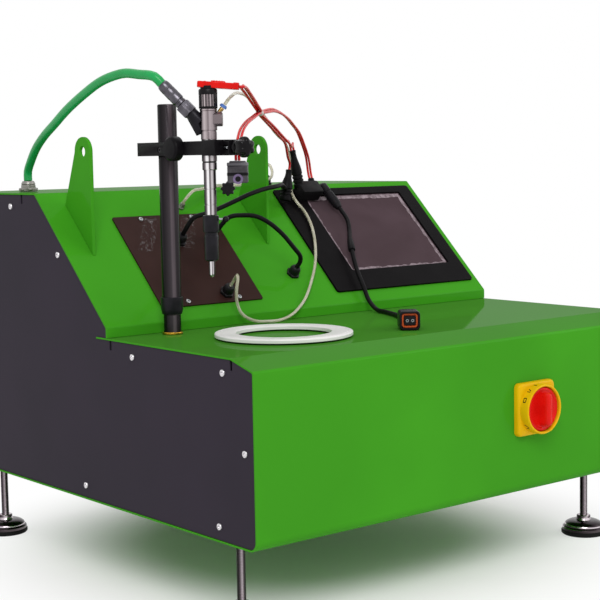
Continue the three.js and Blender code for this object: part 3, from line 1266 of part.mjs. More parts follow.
// Each wire keeps its place around the middle of the bundle, in a spread that grows after the sleeve.
const wireTurns = [0.05, 0.25, 0.45, 0.65, 0.85];
const plugSpreadShare = 1.2;
const hangingSpreadShare = 1.3;
const sleeveSpreadShare = 1.6;
const bootSpreadShare = 2;
const bootWireShare = 1.5;
const plugMiddleWire = 1;
const hangingMiddleWire = 3.5;
const aroundMiddle = (wire, spread, places) => places.map((place) =>
  along(along(place, bundleAcross, spread * wireRing * Math.cos(2 * Math.PI * wireTurns[wire])),
    zAxis, spread * wireRing * Math.sin(2 * Math.PI * wireTurns[wire])));
const plugStart = (wire) => [
  ...straightOut(along(plugFace, plugAcross, (wire - plugMiddleWire) * wirePitch), plugAlong, wirePitch),
  ...aroundMiddle(wire, plugSpreadShare, route([[122, 168, 485], [145, 191, 480.5], [180, 226, 472]])),
];
const hangingStart = (wire) => [
  ...straightOut(along(hangingTop, toRight, (wire - hangingMiddleWire) * wirePitch), zAxis, 2 * wirePitch),
  ...aroundMiddle(wire, hangingSpreadShare, route([[109, 162, 424], [124, 177, 438], [152, 204, 449], [186, 235, 457]])),
];
const inSleeve = (wire) => aroundMiddle(wire, 1,
  [-1, 1].map((end) => along(sleevePlace, sleeveDirection, end * sleeveLength / 2)));
const throughSleeve = (wire) => [
  ...inSleeve(wire),
  ...aroundMiddle(wire, sleeveSpreadShare, route([[266, 301.5, 449.5], [310, 337.5, 436.5]])),
  ...aroundMiddle(wire, bootSpreadShare, route([[340, 362, 428]])),
];
// The two wires to the rear boot arch higher than the others.
const overTheTop = (wire) => [
  ...inSleeve(wire),
  ...aroundMiddle(wire, sleeveSpreadShare, route([
    [266, 301.5, 463], [290, 321, 462], [316, 342, 458.5], [340, 362, 453.5], [362, 380, 446.5], [384, 396, 437],
    [404, 410, 420], [419, 420, 402],
  ])),
];
const intoBoot = (foot, top, shift) => {
  const axis = top.clone().sub(foot).normalize();
  const across = yAxis.clone().cross(axis).normalize();
  return straightOut(along(top, across, shift * wireRadius), axis, 2 * wirePitch).reverse();
};
const signalWires = [
  [...plugStart(0), ...overTheTop(0), ...intoBoot(rearBootFoot, rearBootTop, bootWireShare)],
  [...plugStart(1), ...overTheTop(1), ...intoBoot(rearBootFoot, rearBootTop, -bootWireShare)],
  [...plugStart(2), ...throughSleeve(2), ...route([[362, 389, 427], [377, 406, 428]]),
    ...intoBoot(bootFoot, bootTop, -bootWireShare)],
  [...hangingStart(3), ...throughSleeve(3), ...route([[361, 388, 406]]), ...intoBoot(sideBootFoot, sideBootTop, 0)],
  [...hangingStart(4), ...throughSleeve(4), ...route([[369, 388, 420], [384, 405, 425]]),
    ...intoBoot(bootFoot, bootTop, bootWireShare)],
];
const wireSolid = (places) => {
  const length = new THREE.CatmullRomCurve3(places, false, 'centripetal').getLength();
  return cord(places, wireRadius, thinSides, Math.round(length / wireStepLength));
};
addPiece('signal_wires', join([
  ...signalWires.map(wireSolid),
  rod(along(sleevePlace, sleeveDirection, -sleeveLength / 2), along(sleevePlace, sleeveDirection, sleeveLength / 2),
    wireSleeveRadius, thinSides),
]), redWire);

// Clear return tube from the push-in ring to the return port, laid over the slope and along its foot.
const tubeRadius = 2;
const tubeSteps = 64;
const returnRoute = [
  ...straightOut(pushRingEnd, unionDirection, 3 * tubeRadius),
  ...route([
    [104, 170, 474], [116, 181, 477.5], [130, 195, 480.5], [148, 212, 482], [172, 232, 481], [196, 252, 476],
    [222, 270, 467.5], [250, 297, 460], [282, 327, 450.5], [312, 356, 441.5], [345, 385, 433], [375, 412, 427],
    [394, 428, 415], [402, 432, 400], [397, 427, 384],
    [388, 418, 370], [385, 410, 355], [388, 402, 342.5], [392, 393, 332], [389.8, 376.7, 315.5], [379.2, 355.9, 295], [356.5, 327.6, 266.8],
    [325.2, 300.6, 240], [300, 283, 222], [273, 272, 208], [250, 266, 202.6], [224, 262.5, 202.4], [203, 264, 205],
    [190, 271, 214], [183.5, 272, 230], [182, 270, 246], [184, 270, 257], [188, 276.5, 262],
  ]),
  ...straightOut(plateGlandTop(plateGlands.returnPort), slopeNormal, 3 * tubeRadius).reverse(),
];
addPiece('return_tube', cord(returnRoute, tubeRadius, thinSides, tubeSteps), clearTube);

// Thin clear tube from its port on the slope, behind the right cover ear, to the port on the deck.
const sensorPortTop = along(sensorPortFoot, zAxis, glandFlangeHeight + glandCapHeight);
const sensorTubeRoute = [
  ...straightOut(tubePortTop, slopeNormal, 2 * tubeRadius),
  ...route([
    [214, 404, 364], [232, 411, 366], [262, 423, 369], [296, 430, 369], [330, 431, 371],
    [360, 437, 374], [381, 450, 380], [392, 464, 390], [395, 475, 396],
  ]),
  ...straightOut(sensorPortTop, zAxis, 3 * tubeRadius).reverse(),
];
addPiece('sensor_tube', cord(sensorTubeRoute, tubeRadius, thinSides, cableSteps), clearTube);

// The whole part stands on its origin: the middle of its box, at floor level.
const frontReach = handleFace + gripHeight;
const rearReach = benchDepth + seatGap + inletFlangeThickness;
bench.position.set(-benchWidth / 2, (frontReach - rearReach) / 2, standHeight);

const group = new THREE.Group();
group.add(bench);

export default group;
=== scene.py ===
# A bench-top tester for common rail injectors, in the order in which it is put together: camera and
# light, cords, feet, cabinet, switch, clamp stand, injector, console fittings and what is inside.
# Places are millimetres from the cabinet's left front bottom corner, and ROW turns them to the frame.
import math
import bpy
import bmesh
from mathutils import Matrix, Quaternion, Vector, noise


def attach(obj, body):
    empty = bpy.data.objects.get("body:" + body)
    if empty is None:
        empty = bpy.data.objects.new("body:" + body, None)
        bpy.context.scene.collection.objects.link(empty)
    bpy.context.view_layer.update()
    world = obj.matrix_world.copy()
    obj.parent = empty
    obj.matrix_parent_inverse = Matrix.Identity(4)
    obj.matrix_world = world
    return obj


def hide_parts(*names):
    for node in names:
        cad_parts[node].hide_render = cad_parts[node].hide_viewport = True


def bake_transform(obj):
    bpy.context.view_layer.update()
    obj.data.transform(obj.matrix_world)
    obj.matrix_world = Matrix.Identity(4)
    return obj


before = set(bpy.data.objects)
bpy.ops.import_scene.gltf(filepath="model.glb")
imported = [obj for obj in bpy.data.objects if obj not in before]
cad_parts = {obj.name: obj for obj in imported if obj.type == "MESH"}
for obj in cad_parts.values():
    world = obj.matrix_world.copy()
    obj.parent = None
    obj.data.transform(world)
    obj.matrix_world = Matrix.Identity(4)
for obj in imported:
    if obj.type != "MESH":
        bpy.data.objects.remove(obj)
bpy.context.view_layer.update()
scene = bpy.context.scene
ROW = Matrix.Scale(0.001, 4) @ Matrix.Translation((-315, -307.85, 97))
X, Y, Z = Vector((1, 0, 0)), Vector((0, 1, 0)), Vector((0, 0, 1))

# Camera, light and floor. The camera stands low in front of the left corner, fitted to the cabinet's
# edges in the photograph, and soft lamps stand to the left, to the right and above.
CAMERA_PLACE = (-891.96, -1177.87, 406.79)
CAMERA_LENS, CAMERA_SENSOR, CAMERA_REACH = 88.07, 36, 200
CAMERA_AZIMUTH, CAMERA_PITCH, CAMERA_ROLL = (math.radians(a) for a in (-39.04, 5.59, -1.04))
camera_data = bpy.data.cameras.new("camera")
camera_data.lens = CAMERA_LENS
camera_data.sensor_width = CAMERA_SENSOR
camera_data.sensor_fit = "HORIZONTAL"
camera_data.clip_end = CAMERA_REACH
camera = bpy.data.objects.new("camera", camera_data)
scene.collection.objects.link(camera)
back = Vector((math.sin(CAMERA_AZIMUTH) * math.cos(CAMERA_PITCH),
               -math.cos(CAMERA_AZIMUTH) * math.cos(CAMERA_PITCH), math.sin(CAMERA_PITCH)))
right = (-back).cross(Z).normalized()
up = right.cross(-back)
rolled_right = right * math.cos(CAMERA_ROLL) + up * math.sin(CAMERA_ROLL)
rolled_up = up * math.cos(CAMERA_ROLL) - right * math.sin(CAMERA_ROLL)
turn = Matrix((rolled_right, rolled_up, back)).transposed().to_4x4()
camera.matrix_world = Matrix.Translation(ROW @ Vector(CAMERA_PLACE)) @ turn
scene.camera = camera
scene.view_settings.view_transform = "Standard"


def add(tree, kind, inputs={}, **settings):
    """Adds a node. A value in inputs is set on the socket, or joined to it where it is a socket."""
    made = tree.nodes.new(kind)
    for name, value in settings.items():
        setattr(made, name, value)
    for name, value in inputs.items():
        if isinstance(value, bpy.types.NodeSocket):
            tree.links.new(value, made.inputs[name])
        else:
            made.inputs[name].default_value = value
    return made


def tint(code):
    """Linear colour of an sRGB hex value."""
    parts = [int(code[i:i + 2], 16) / 255 for i in (1, 3, 5)]
    return [p / 12.92 if p <= 0.04045 else ((p + 0.055) / 1.055) ** 2.4 for p in parts] + [1]


def seen_directly(tree):
    """1 for a ray from the camera, or one that a mirror or clear surface sends on, and else 0."""
    rays = add(tree, "ShaderNodeLightPath").outputs
    seen = rays["Is Camera Ray"]
    for ray in ("Is Glossy Ray", "Is Transmission Ray"):
        seen = add(tree, "ShaderNodeMath", {0: seen, 1: rays[ray]}, operation="MAXIMUM").outputs[0]
    return seen


WORLD_LIGHT = 0.6
world = bpy.data.worlds.new("studio")
scene.world = world
world.use_nodes = True
sky = world.node_tree
sky.nodes.clear()
soft = add(sky, "ShaderNodeBackground", {"Color": tint("#fbfaf8"), "Strength": WORLD_LIGHT}).outputs[0]
white = add(sky, "ShaderNodeBackground", {"Color": (1, 1, 1, 1), "Strength": 1}).outputs[0]
mixed = add(sky, "ShaderNodeMixShader", {0: seen_directly(sky), 1: soft, 2: white})
add(sky, "ShaderNodeOutputWorld", {"Surface": mixed.outputs[0]})

for lamp_name, lamp_place, lamp_aim, lamp_size, lamp_watts in (
        ("key", (-1.6, -2.2, 2.4), (0, 0, 0.25), 1.6, 52),
        ("fill", (2.4, -1.6, 1.6), (0, 0, 0.25), 1.8, 18),
        ("top", (0.2, 0.6, 3.0), (0, 0, 0.3), 1.5, 9)):
    lamp_data = bpy.data.lights.new(lamp_name, "AREA")
    lamp_data.size = lamp_size
    lamp_data.energy = lamp_watts
    lamp = bpy.data.objects.new(lamp_name, lamp_data)
    scene.collection.objects.link(lamp)
    aim = Vector(lamp_aim) - Vector(lamp_place)
    lamp.matrix_world = Matrix.Translation(lamp_place) @ aim.to_track_quat("-Z", "Y").to_matrix().to_4x4()


def surface(name, colour, **sockets):
    """A material with its colour and constant numbers on the shader's own sockets."""
    material = bpy.data.materials.new(name)
    material.use_nodes = True
    tree = material.node_tree
    shader = tree.nodes["Principled BSDF"]
    shader.inputs["Base Color"].default_value = tint(colour)
    for socket, value in sockets.items():
        shader.inputs[socket.replace("_", " ")].default_value = value
    place = add(tree, "ShaderNodeTexCoord").outputs["Object"]
    return material, tree, shader.inputs, place


def uneven_gloss(made, size, roughness, stretch=(1, 1, 1)):
    """Makes the roughness uneven by a grain of a size in millimetres, and gives back the grain."""
    material, tree, shader, place = made
    grain_place = add(tree, "ShaderNodeMapping", {"Vector": place, "Scale": stretch}).outputs[0]
    grain = add(tree, "ShaderNodeTexNoise", {"Vector": grain_place, "Scale": 1000 / size,
                                             "Detail": 3}).outputs[0]
    low, high = roughness
    rough = add(tree, "ShaderNodeMapRange", {"Value": grain, "From Min": 0.3, "From Max": 0.7, "To Min": low,
                                             "To Max": high})
    tree.links.new(rough.outputs[0], shader["Roughness"])
    return grain


def grained(made, size, roughness, bump=0.0, stretch=(1, 1, 1), colours=None, patch=60):
    """Gives a material a fine grain in its gloss and relief, and slow patches of two colours."""
    material, tree, shader, place = made
    grain = uneven_gloss(made, size, roughness, stretch)
    if bump:
        relief = add(tree, "ShaderNodeBump", {"Height": grain, "Strength": 0.6, "Distance": bump / 1000})
        tree.links.new(relief.outputs[0], shader["Normal"])
    if colours:
        cloud = add(tree, "ShaderNodeTexNoise", {"Vector": place, "Scale": 1000 / patch, "Detail": 2})
        share = add(tree, "ShaderNodeMapRange", {"Value": cloud.outputs[0], "From Min": 0.35,
                                                 "From Max": 0.65})
        colour = add(tree, "ShaderNodeMix", {0: share.outputs[0], 6: tint(colours[0]), 7: tint(colours[1])},
                     data_type="RGBA")
        tree.links.new(colour.outputs[2], shader["Base Color"])
    return material


POLISHING_LINE = 1 / 1.4


def paint_reflection_bands(made, stops, toward=(0.77, -0.64, 0.12)):
    """Paints reflections into turned steel's colour: light and dark bands for the lamps and dark room."""
    material, tree, shader, place = made
    facing = add(tree, "ShaderNodeTexCoord").outputs["Normal"]
    turn_to = add(tree, "ShaderNodeVectorMath", {0: facing, 1: toward}, operation="DOT_PRODUCT")
    spread = add(tree, "ShaderNodeMapRange", {"Value": turn_to.outputs["Value"], "From Min": -1,
                                              "From Max": 1})
    ramp = add(tree, "ShaderNodeValToRGB", {"Fac": spread.outputs[0]})
    while len(ramp.color_ramp.elements) < len(stops):
        ramp.color_ramp.elements.new(0.5)
    for element, (at, code) in zip(ramp.color_ramp.elements, stops):
        element.position = at
        element.color = tint(code)
    uneven_gloss(made, POLISHING_LINE, (0.14, 0.3), (1, 1, 8))
    tree.links.new(ramp.outputs[0], shader["Base Color"])
    return material


# Matt white studio paint on the floor: almost no gloss and an even faint mottle, with the object's shadow
# near it. Further off the camera and reflections see plain white, like the sweep behind it.
floor_paint = grained(surface("studio floor paint", "#f7f6f4", Specular_IOR_Level=0.1), 40, (0.85, 0.95),
                      colours=("#f7f6f4", "#f9f8f6"))
floor_tree = floor_paint.node_tree
floor_place = add(floor_tree, "ShaderNodeTexCoord").outputs["Object"]
distance = add(floor_tree, "ShaderNodeVectorMath", {0: floor_place}, operation="LENGTH").outputs["Value"]
far_off = add(floor_tree, "ShaderNodeMapRange", {"Value": distance, "From Min": 0.18, "From Max": 0.5},
              interpolation_type="SMOOTHSTEP").outputs[0]
share = add(floor_tree, "ShaderNodeMath", {0: seen_directly(floor_tree), 1: far_off},
            operation="MULTIPLY").outputs[0]
plain_white = add(floor_tree, "ShaderNodeEmission", {"Color": (1, 1, 1, 1), "Strength": 1}).outputs[0]
floor_mix = add(floor_tree, "ShaderNodeMixShader", {
    0: share, 1: floor_tree.nodes["Principled BSDF"].outputs[0], 2: plain_white})
floor_tree.links.new(floor_mix.outputs[0], floor_tree.nodes["Material Output"].inputs["Surface"])
FLOOR_REACH = 40
floor_mesh = bpy.data.meshes.new("floor")
floor_mesh.from_pydata([(x * FLOOR_REACH, y * FLOOR_REACH, 0)
                        for x, y in ((-1, -1), (1, -1), (1, 1), (-1, 1))], [], [(0, 1, 2, 3)])
floor_mesh.materials.append(floor_paint)
floor = bpy.data.objects.new("floor", floor_mesh)
scene.collection.objects.link(floor)


# Cords: a green high-pressure hose, two clear tubes, three black cables and five red wires. Each is a
# smooth tube along the route of its solid, from the face of one fitting to the face of the next.
CLEAR = 0.3
SLOPE_FOOT = Vector((0, 280, 212.5))
SLOPE_UP = Vector((0, 159, 154.5)).normalized()
SLOPE_OUT = X.cross(SLOPE_UP)
INJECTOR_X, INJECTOR_Y = 79, 177
TO_RIGHT = Vector((0.77, -0.64, 0)).normalized()
ACROSS_PORT = Z.cross(TO_RIGHT)


def on_slope(across, along_up, out):
    return SLOPE_FOOT + X * across + SLOPE_UP * along_up + SLOPE_OUT * out


def on_injector(height):
    return Vector((INJECTOR_X, INJECTOR_Y, height))


def straight(end, direction, reach):
    return [end + direction * CLEAR, end + direction * (CLEAR + reach)]


def smooth_path(points, count):
    """Even points on the smooth line through the given ones."""
    places = [Vector(p) for p in points]
    places = [2 * places[0] - places[1], *places, 2 * places[-1] - places[-2]]
    fine = []
    for a, b, c, d in zip(places, places[1:], places[2:], places[3:]):
        knots = [0.0]
        for start, end in ((a, b), (b, c), (c, d)):
            knots.append(knots[-1] + max((end - start).length, 1e-6) ** 0.5)
        for step in range(24):
            t = knots[1] + (knots[2] - knots[1]) * step / 24
            first = [p.lerp(q, (t - s) / (e - s)) for p, q, s, e in
                     ((a, b, knots[0], knots[1]), (b, c, knots[1], knots[2]), (c, d, knots[2], knots[3]))]
            second = [first[0].lerp(first[1], (t - knots[0]) / (knots[2] - knots[0])),
                      first[1].lerp(first[2], (t - knots[1]) / (knots[3] - knots[1]))]
            fine.append(second[0].lerp(second[1], (t - knots[1]) / (knots[2] - knots[1])))
    fine.append(places[-2])
    reach = [0.0]
    for p, q in zip(fine, fine[1:]):
        reach.append(reach[-1] + (q - p).length)
    even, at = [], 0
    for step in range(count):
        target = reach[-1] * step / (count - 1)
        while at < len(fine) - 2 and reach[at + 1] < target:
            at += 1
        span = max(reach[at + 1] - reach[at], 1e-9)
        even.append(fine[at].lerp(fine[at + 1], min(1, (target - reach[at]) / span)))
    return even


def skin(rings):
    """A bmesh skinned over rings of equally many points, closed by a face at each end."""
    bm = bmesh.new()
    made = [[bm.verts.new(p) for p in ring] for ring in rings]
    count = len(made[0])
    for low, high in zip(made, made[1:]):
        for i in range(count):
            bm.faces.new((low[i], low[(i + 1) % count], high[(i + 1) % count], high[i]))
    bm.faces.new(made[0])
    bm.faces.new(made[-1])
    return bm


def rings_along(path, radius, sides):
    """Round sections that follow a path without twisting."""
    rings = []
    tangent = (path[1] - path[0]).normalized()
    across = tangent.orthogonal().normalized()
    for i, place in enumerate(path):
        ahead = (path[min(i + 1, len(path) - 1)] - path[max(i - 1, 0)]).normalized()
        across = (tangent.rotation_difference(ahead) @ across).normalized()
        tangent = ahead
        other = tangent.cross(across)
        rings.append([place + (across * math.cos(a) + other * math.sin(a)) * radius
                      for a in (2 * math.pi * k / sides for k in range(sides))])
    return rings


def rod(start, end, radius, sides=32):
    return skin(rings_along([Vector(start), Vector(end)], radius, sides))


def piece(name, shapes, body, stands_for=None, bevel=0.0, sharp=35, segments=2):
    """Joins shapes, given as (material, bmesh) pairs in millimetres, into one finished piece on a body."""
    whole = bmesh.new()
    materials = []
    for material, shape in shapes:
        if material not in materials:
            materials.append(material)
        bmesh.ops.recalc_face_normals(shape, faces=shape.faces)
        for face in shape.faces:
            face.material_index = materials.index(material)
        part = bpy.data.meshes.new("part")
        shape.to_mesh(part)
        shape.free()
        whole.from_mesh(part)
        bpy.data.meshes.remove(part)
    whole.transform(ROW)
    for face in whole.faces:
        face.smooth = len(face.verts) > 3 or all(e.calc_face_angle(1) > 0.001 for e in face.edges)
    mesh = bpy.data.meshes.new(name)
    whole.to_mesh(mesh)
    whole.free()
    for material in materials:
        mesh.materials.append(material)
    made = bpy.data.objects.new(name, mesh)
    scene.collection.objects.link(made)
    if bevel:
        rounding = made.modifiers.new("edge", "BEVEL")
        rounding.width = bevel / 1000
        rounding.segments = segments
        rounding.limit_method = "ANGLE"
        rounding.angle_limit = math.radians(sharp)
        rounding.harden_normals = True
    else:
        mesh.set_sharp_from_angle(angle=math.radians(sharp))
    if body:
        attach(made, body)
    if stands_for:
        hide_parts(stands_for)
    return made


def cord(name, route, radius, material, node, length, far_end, stiffness, body="cabinet", moving=None,
         count=64, sides=16):
    """A cord along its route, on a body, or baked in place where one end moves, with its facts."""
    path = smooth_path(route, count)
    made = piece(name, [(material, skin(rings_along(path, radius, sides)))], None if moving else body,
                 node, sharp=50)
    if moving:
        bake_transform(made)
    places = [ROW @ p for p in path]
    facts = {"exit": places[0], "length": length, "diameter": radius / 500, "far_end": far_end,
             "stiffness": stiffness, "path": places}
    return made, facts


# Green thermoplastic hose sleeve: smooth, a little waxy, with faint marks of handling.
hose_sleeve = grained(surface("green thermoplastic hose sleeve", "#12984b", Specular_IOR_Level=0.3), 3,
                      (0.24, 0.38), 0.03, colours=("#109447", "#179f51"), patch=30)
HOSE_OUT = Vector((-1, 1, 1.46)).normalized()
INLET_END = Vector((65.1, 190.9, 457.1))
NUT_LENGTH, FERRULE_LENGTH = 14, 32
nut_start = INLET_END + HOSE_OUT * CLEAR
nut_end = nut_start + HOSE_OUT * NUT_LENGTH
ferrule_start = nut_end + HOSE_OUT * CLEAR
ferrule_end = ferrule_start + HOSE_OUT * FERRULE_LENGTH
HOSE_PORT_TOP = Vector((50, 545, 381))
hose_route = [*straight(HOSE_PORT_TOP, Z, 11), (47, 530, 407), (42, 505, 424), (37, 474, 439), (32, 440, 452),
              (28, 400, 469), (25.5, 354, 486), (25, 319, 497.5), (26.3, 292.9, 503), (28.8, 269.3, 505.4),
              (32, 247, 503), *reversed(straight(ferrule_end, HOSE_OUT, 11))]
cord("high_pressure_hose_sleeve", hose_route, 5.5, hose_sleeve, "high_pressure_hose", 0.377,
     "object", "stiff", moving=(HOSE_PORT_TOP, ferrule_end), sides=24)

# Clear nylon return and sensor tubes: pale cream, half see-through, with a soft shine.
clear_nylon = grained(surface("clear nylon tube", "#d9d4bc", Transmission_Weight=0.45, IOR=1.5), 6,
                      (0.12, 0.22), colours=("#cfcab0", "#e4e0cd"), patch=15)
RETURN_OUT = (Z + TO_RIGHT * 0.75).normalized()
PORT_HEIGHT, PORT_HALF, UNION_REACH, UNION_LENGTH, PUSH_RING = 450, 8, 12.6, 5.5, 3.6
union_foot = on_injector(PORT_HEIGHT + PORT_HALF + CLEAR) + TO_RIGHT * UNION_REACH
union_end = union_foot + RETURN_OUT * UNION_LENGTH
push_ring_start = union_end + RETURN_OUT * CLEAR
push_ring_end = push_ring_start + RETURN_OUT * PUSH_RING
GLAND_HEIGHT = 14
PLATE_LIFT = 2.3
PLATE_GLANDS = {"cableA": (165, 125), "cableB": (213, 121), "returnPort": (190, 34)}


def plate_gland_top(name):
    return on_slope(*PLATE_GLANDS[name], PLATE_LIFT + GLAND_HEIGHT)


return_route = [*straight(push_ring_end, RETURN_OUT, 6), (104, 170, 474), (116, 181, 477.5),
                (130, 195, 480.5), (148, 212, 482), (172, 232, 481), (196, 252, 476), (222, 270, 467.5),
                (250, 297, 460), (282, 327, 450.5), (312, 356, 441.5), (345, 385, 433), (375, 412, 427),
                (394, 428, 415), (402, 432, 400), (397, 427, 384), (388, 418, 370), (385, 410, 355),
                (388, 402, 342.5), (392, 393, 332), (389.8, 376.7, 315.5), (379.2, 355.9, 295),
                (356.5, 327.6, 266.8), (325.2, 300.6, 240), (300, 283, 222), (273, 272, 208),
                (250, 266, 202.6), (224, 262.5, 202.4), (203, 264, 205), (190, 271, 214), (183.5, 272, 230),
                (182, 270, 246), (184, 270, 257), (188, 276.5, 262),
                *reversed(straight(plate_gland_top("returnPort"), SLOPE_OUT, 6))]
# Only the arch above the boots moves with the arm. The rise given for its moving end climbs steeply, so that
# the loop that lies on the worktop would stay where it is.
return_hold, return_rise = Vector((375, 412, 427)), Vector((-275, -242, 500))
return_rise *= (push_ring_end - return_hold).dot(return_rise) / return_rise.length_squared
cord("return_tube_clear", list(reversed(return_route)), 2, clear_nylon, "return_tube", 0.9,
     "object", "medium", moving=(return_hold, return_hold + return_rise), count=160, sides=12)
SENSOR_PORT = Vector((395, 482, 367))
TUBE_PORT, TUBE_PORT_HEIGHT = (200, 186), 9
tube_port_top = on_slope(*TUBE_PORT, TUBE_PORT_HEIGHT)
sensor_route = [*straight(tube_port_top, SLOPE_OUT, 4), (214, 404, 364), (232, 411, 366), (262, 423, 369),
                (296, 430, 369), (330, 431, 371), (360, 437, 374), (381, 450, 380), (392, 464, 390),
                (395, 475, 396), *reversed(straight(SENSOR_PORT + Z * GLAND_HEIGHT, Z, 6))]
cord("sensor_tube_clear", sensor_route, 2, clear_nylon, "sensor_tube", 0.251, "object",
     "medium", count=70, sides=12)

# Black rubber cables with moulded boots: matt, slightly dusty, with the faint texture of extrusion.
cable_rubber = grained(surface("black extruded rubber", "#0c0b0d", Specular_IOR_Level=0.08), 2.5, (0.34, 0.5),
                       0.03, colours=("#0e0d0f", "#151416"), patch=20)
SIDE_BOOT_TOP, SIDE_BOOT_FOOT = Vector((375.6, 404, 388.5)), Vector((366.5, 403, 347))
control_route = [*straight(plate_gland_top("cableA"), SLOPE_OUT, 9), (172, 344, 332), (190, 342, 337),
                 (214, 341, 344), (236, 339, 352), (259, 338, 360), (284, 340, 365.5), (304, 343, 368),
                 (322, 354, 369.5), (344, 378, 367.5), SIDE_BOOT_FOOT.lerp(SIDE_BOOT_TOP, 0.35)]
cord("control_cable_black", control_route, 3, cable_rubber, "control_cable", 0.255, "object",
     "medium", count=60)
CABLE_END = (312, 58)
sensor_cable_route = [*straight(plate_gland_top("cableB"), SLOPE_OUT, 9), (222, 336, 331), (238, 329, 333),
                      (254, 321, 331), (269, 313, 322), (284, 305, 307), (298, 301, 290), (308, 300, 278),
                      *reversed(straight(on_slope(*CABLE_END, GLAND_HEIGHT), SLOPE_OUT, 9))]
cord("sensor_cable_black", sensor_cable_route, 3, cable_rubber, "sensor_cable", 0.168,
     "object", "medium", count=56)
BLOCK_ACROSS, BLOCK_UP, BLOCK_BASE = 416, 197, 3.6


def on_block(across, along_up, out):
    return on_slope(BLOCK_ACROSS + across, BLOCK_UP + along_up, BLOCK_BASE + out)


INLINE_START, INLINE_END = Vector((446, 419, 366)), Vector((451.5, 387.5, 334))
LEAD_BOOT_START, LEAD_BOOT_END = Vector((430.5, 342, 292.5)), Vector((421, 327, 278))
PLUG_FACING = Vector((-0.6, -0.8, 0))
PLUG_CENTRE = Vector((300, 88, 211.8))
PLUG_LENGTH = 34
lead_route = [*straight(on_block(18, 0, 9), X, 6), INLINE_START, INLINE_END, (450.5, 370, 318),
              (442, 356, 304), LEAD_BOOT_START, LEAD_BOOT_END, (410, 305, 254), (404, 286, 234),
              (400, 270, 215), (397, 252, 204.5), (390, 228, 203.5), (376, 194, 203.5), (357, 160, 204),
              (336, 131, 208), *reversed(straight(PLUG_CENTRE - PLUG_FACING * PLUG_LENGTH / 2, -PLUG_FACING,
                                                  9))]
adapter_lead, lead_facts = cord("adapter_lead_black", lead_route, 3, cable_rubber,
                                "adapter_lead", 0.436, "plug", "medium", count=110)

# Silicone-insulated signal wires: two bright red ones and three that have faded towards orange, all
# smooth and slightly glossy.
bright_wire = grained(surface("red silicone insulation", "#d3101c", Specular_IOR_Level=0.2), 4, (0.2, 0.32),
                      colours=("#cc0e1a", "#da141e"), patch=20)
faded_wire = grained(surface("faded red silicone insulation", "#cf2c2e", Specular_IOR_Level=0.2), 4,
                     (0.25, 0.38), colours=("#c6262a", "#d83634"), patch=15)
WIRE_RADIUS, WIRE_PITCH, WIRE_RING = 1.6, 3.6, 2.6
PLUG_FOOT, PLUG_TILT, COIL_RADIUS = 484.3, 0.085, 10.6
PLUG_LOW = PLUG_FOOT + COIL_RADIUS * PLUG_TILT
ALONG_PLUG = (TO_RIGHT - Z * PLUG_TILT).normalized()
PLUG_UP = ALONG_PLUG.cross(ACROSS_PORT)
SLEEVE_PLACE = Vector((216, 260, 461.5))
SLEEVE_ALONG = Vector((0.72, 0.66, -0.2)).normalized()
SLEEVE_LENGTH = 9
BUNDLE_ACROSS = Vector((0.66, -0.72, 0)).normalized()
HANGING_TOP = Vector((103.5, 157, 403))
BOOT_TOP, REAR_BOOT_TOP = Vector((391, 415, 415)), Vector((429, 422, 375))
BOOT_FOOT, REAR_BOOT_FOOT = on_block(-12, 5.5, 9), on_block(12, 5.5, 9)
plug_face = on_injector(PLUG_LOW) + ALONG_PLUG * 35 + PLUG_UP * 3.5


def around(wire, spread, places):
    angle = 2 * math.pi * (0.05, 0.25, 0.45, 0.65, 0.85)[wire]
    return [Vector(p) + BUNDLE_ACROSS * spread * WIRE_RING * math.cos(angle)
            + Z * spread * WIRE_RING * math.sin(angle) for p in places]


def from_plug(wire):
    start = straight(plug_face + ACROSS_PORT * (wire - 1) * WIRE_PITCH, ALONG_PLUG, WIRE_PITCH)
    return start + around(wire, 1.2, [(122, 168, 485), (145, 191, 480.5), (180, 226, 472)])


def from_hanging(wire):
    start = straight(HANGING_TOP + TO_RIGHT * (wire - 3.5) * WIRE_PITCH, Z, 2 * WIRE_PITCH)
    return start + around(wire, 1.3, [(109, 162, 424), (124, 177, 438), (152, 204, 449), (186, 235, 457)])


def in_sleeve(wire):
    return around(wire, 1, [SLEEVE_PLACE + SLEEVE_ALONG * side * SLEEVE_LENGTH / 2 for side in (-1, 1)])


def through_sleeve(wire):
    return (in_sleeve(wire) + around(wire, 1.6, [(266, 301.5, 449.5), (310, 337.5, 436.5)])
            + around(wire, 2, [(340, 362, 428)]))


def over_the_top(wire):
    return in_sleeve(wire) + around(wire, 1.6, [(266, 301.5, 463), (290, 321, 462), (316, 342, 458.5),
                                                (340, 362, 453.5), (362, 380, 446.5), (384, 396, 437),
                                                (404, 410, 420), (419, 420, 402)])


def into_boot(boot_ends, shift):
    foot, top = boot_ends
    axis = (top - foot).normalized()
    across = Y.cross(axis).normalized()
    return list(reversed(straight(top + across * shift * WIRE_RADIUS, axis, 2 * WIRE_PITCH)))


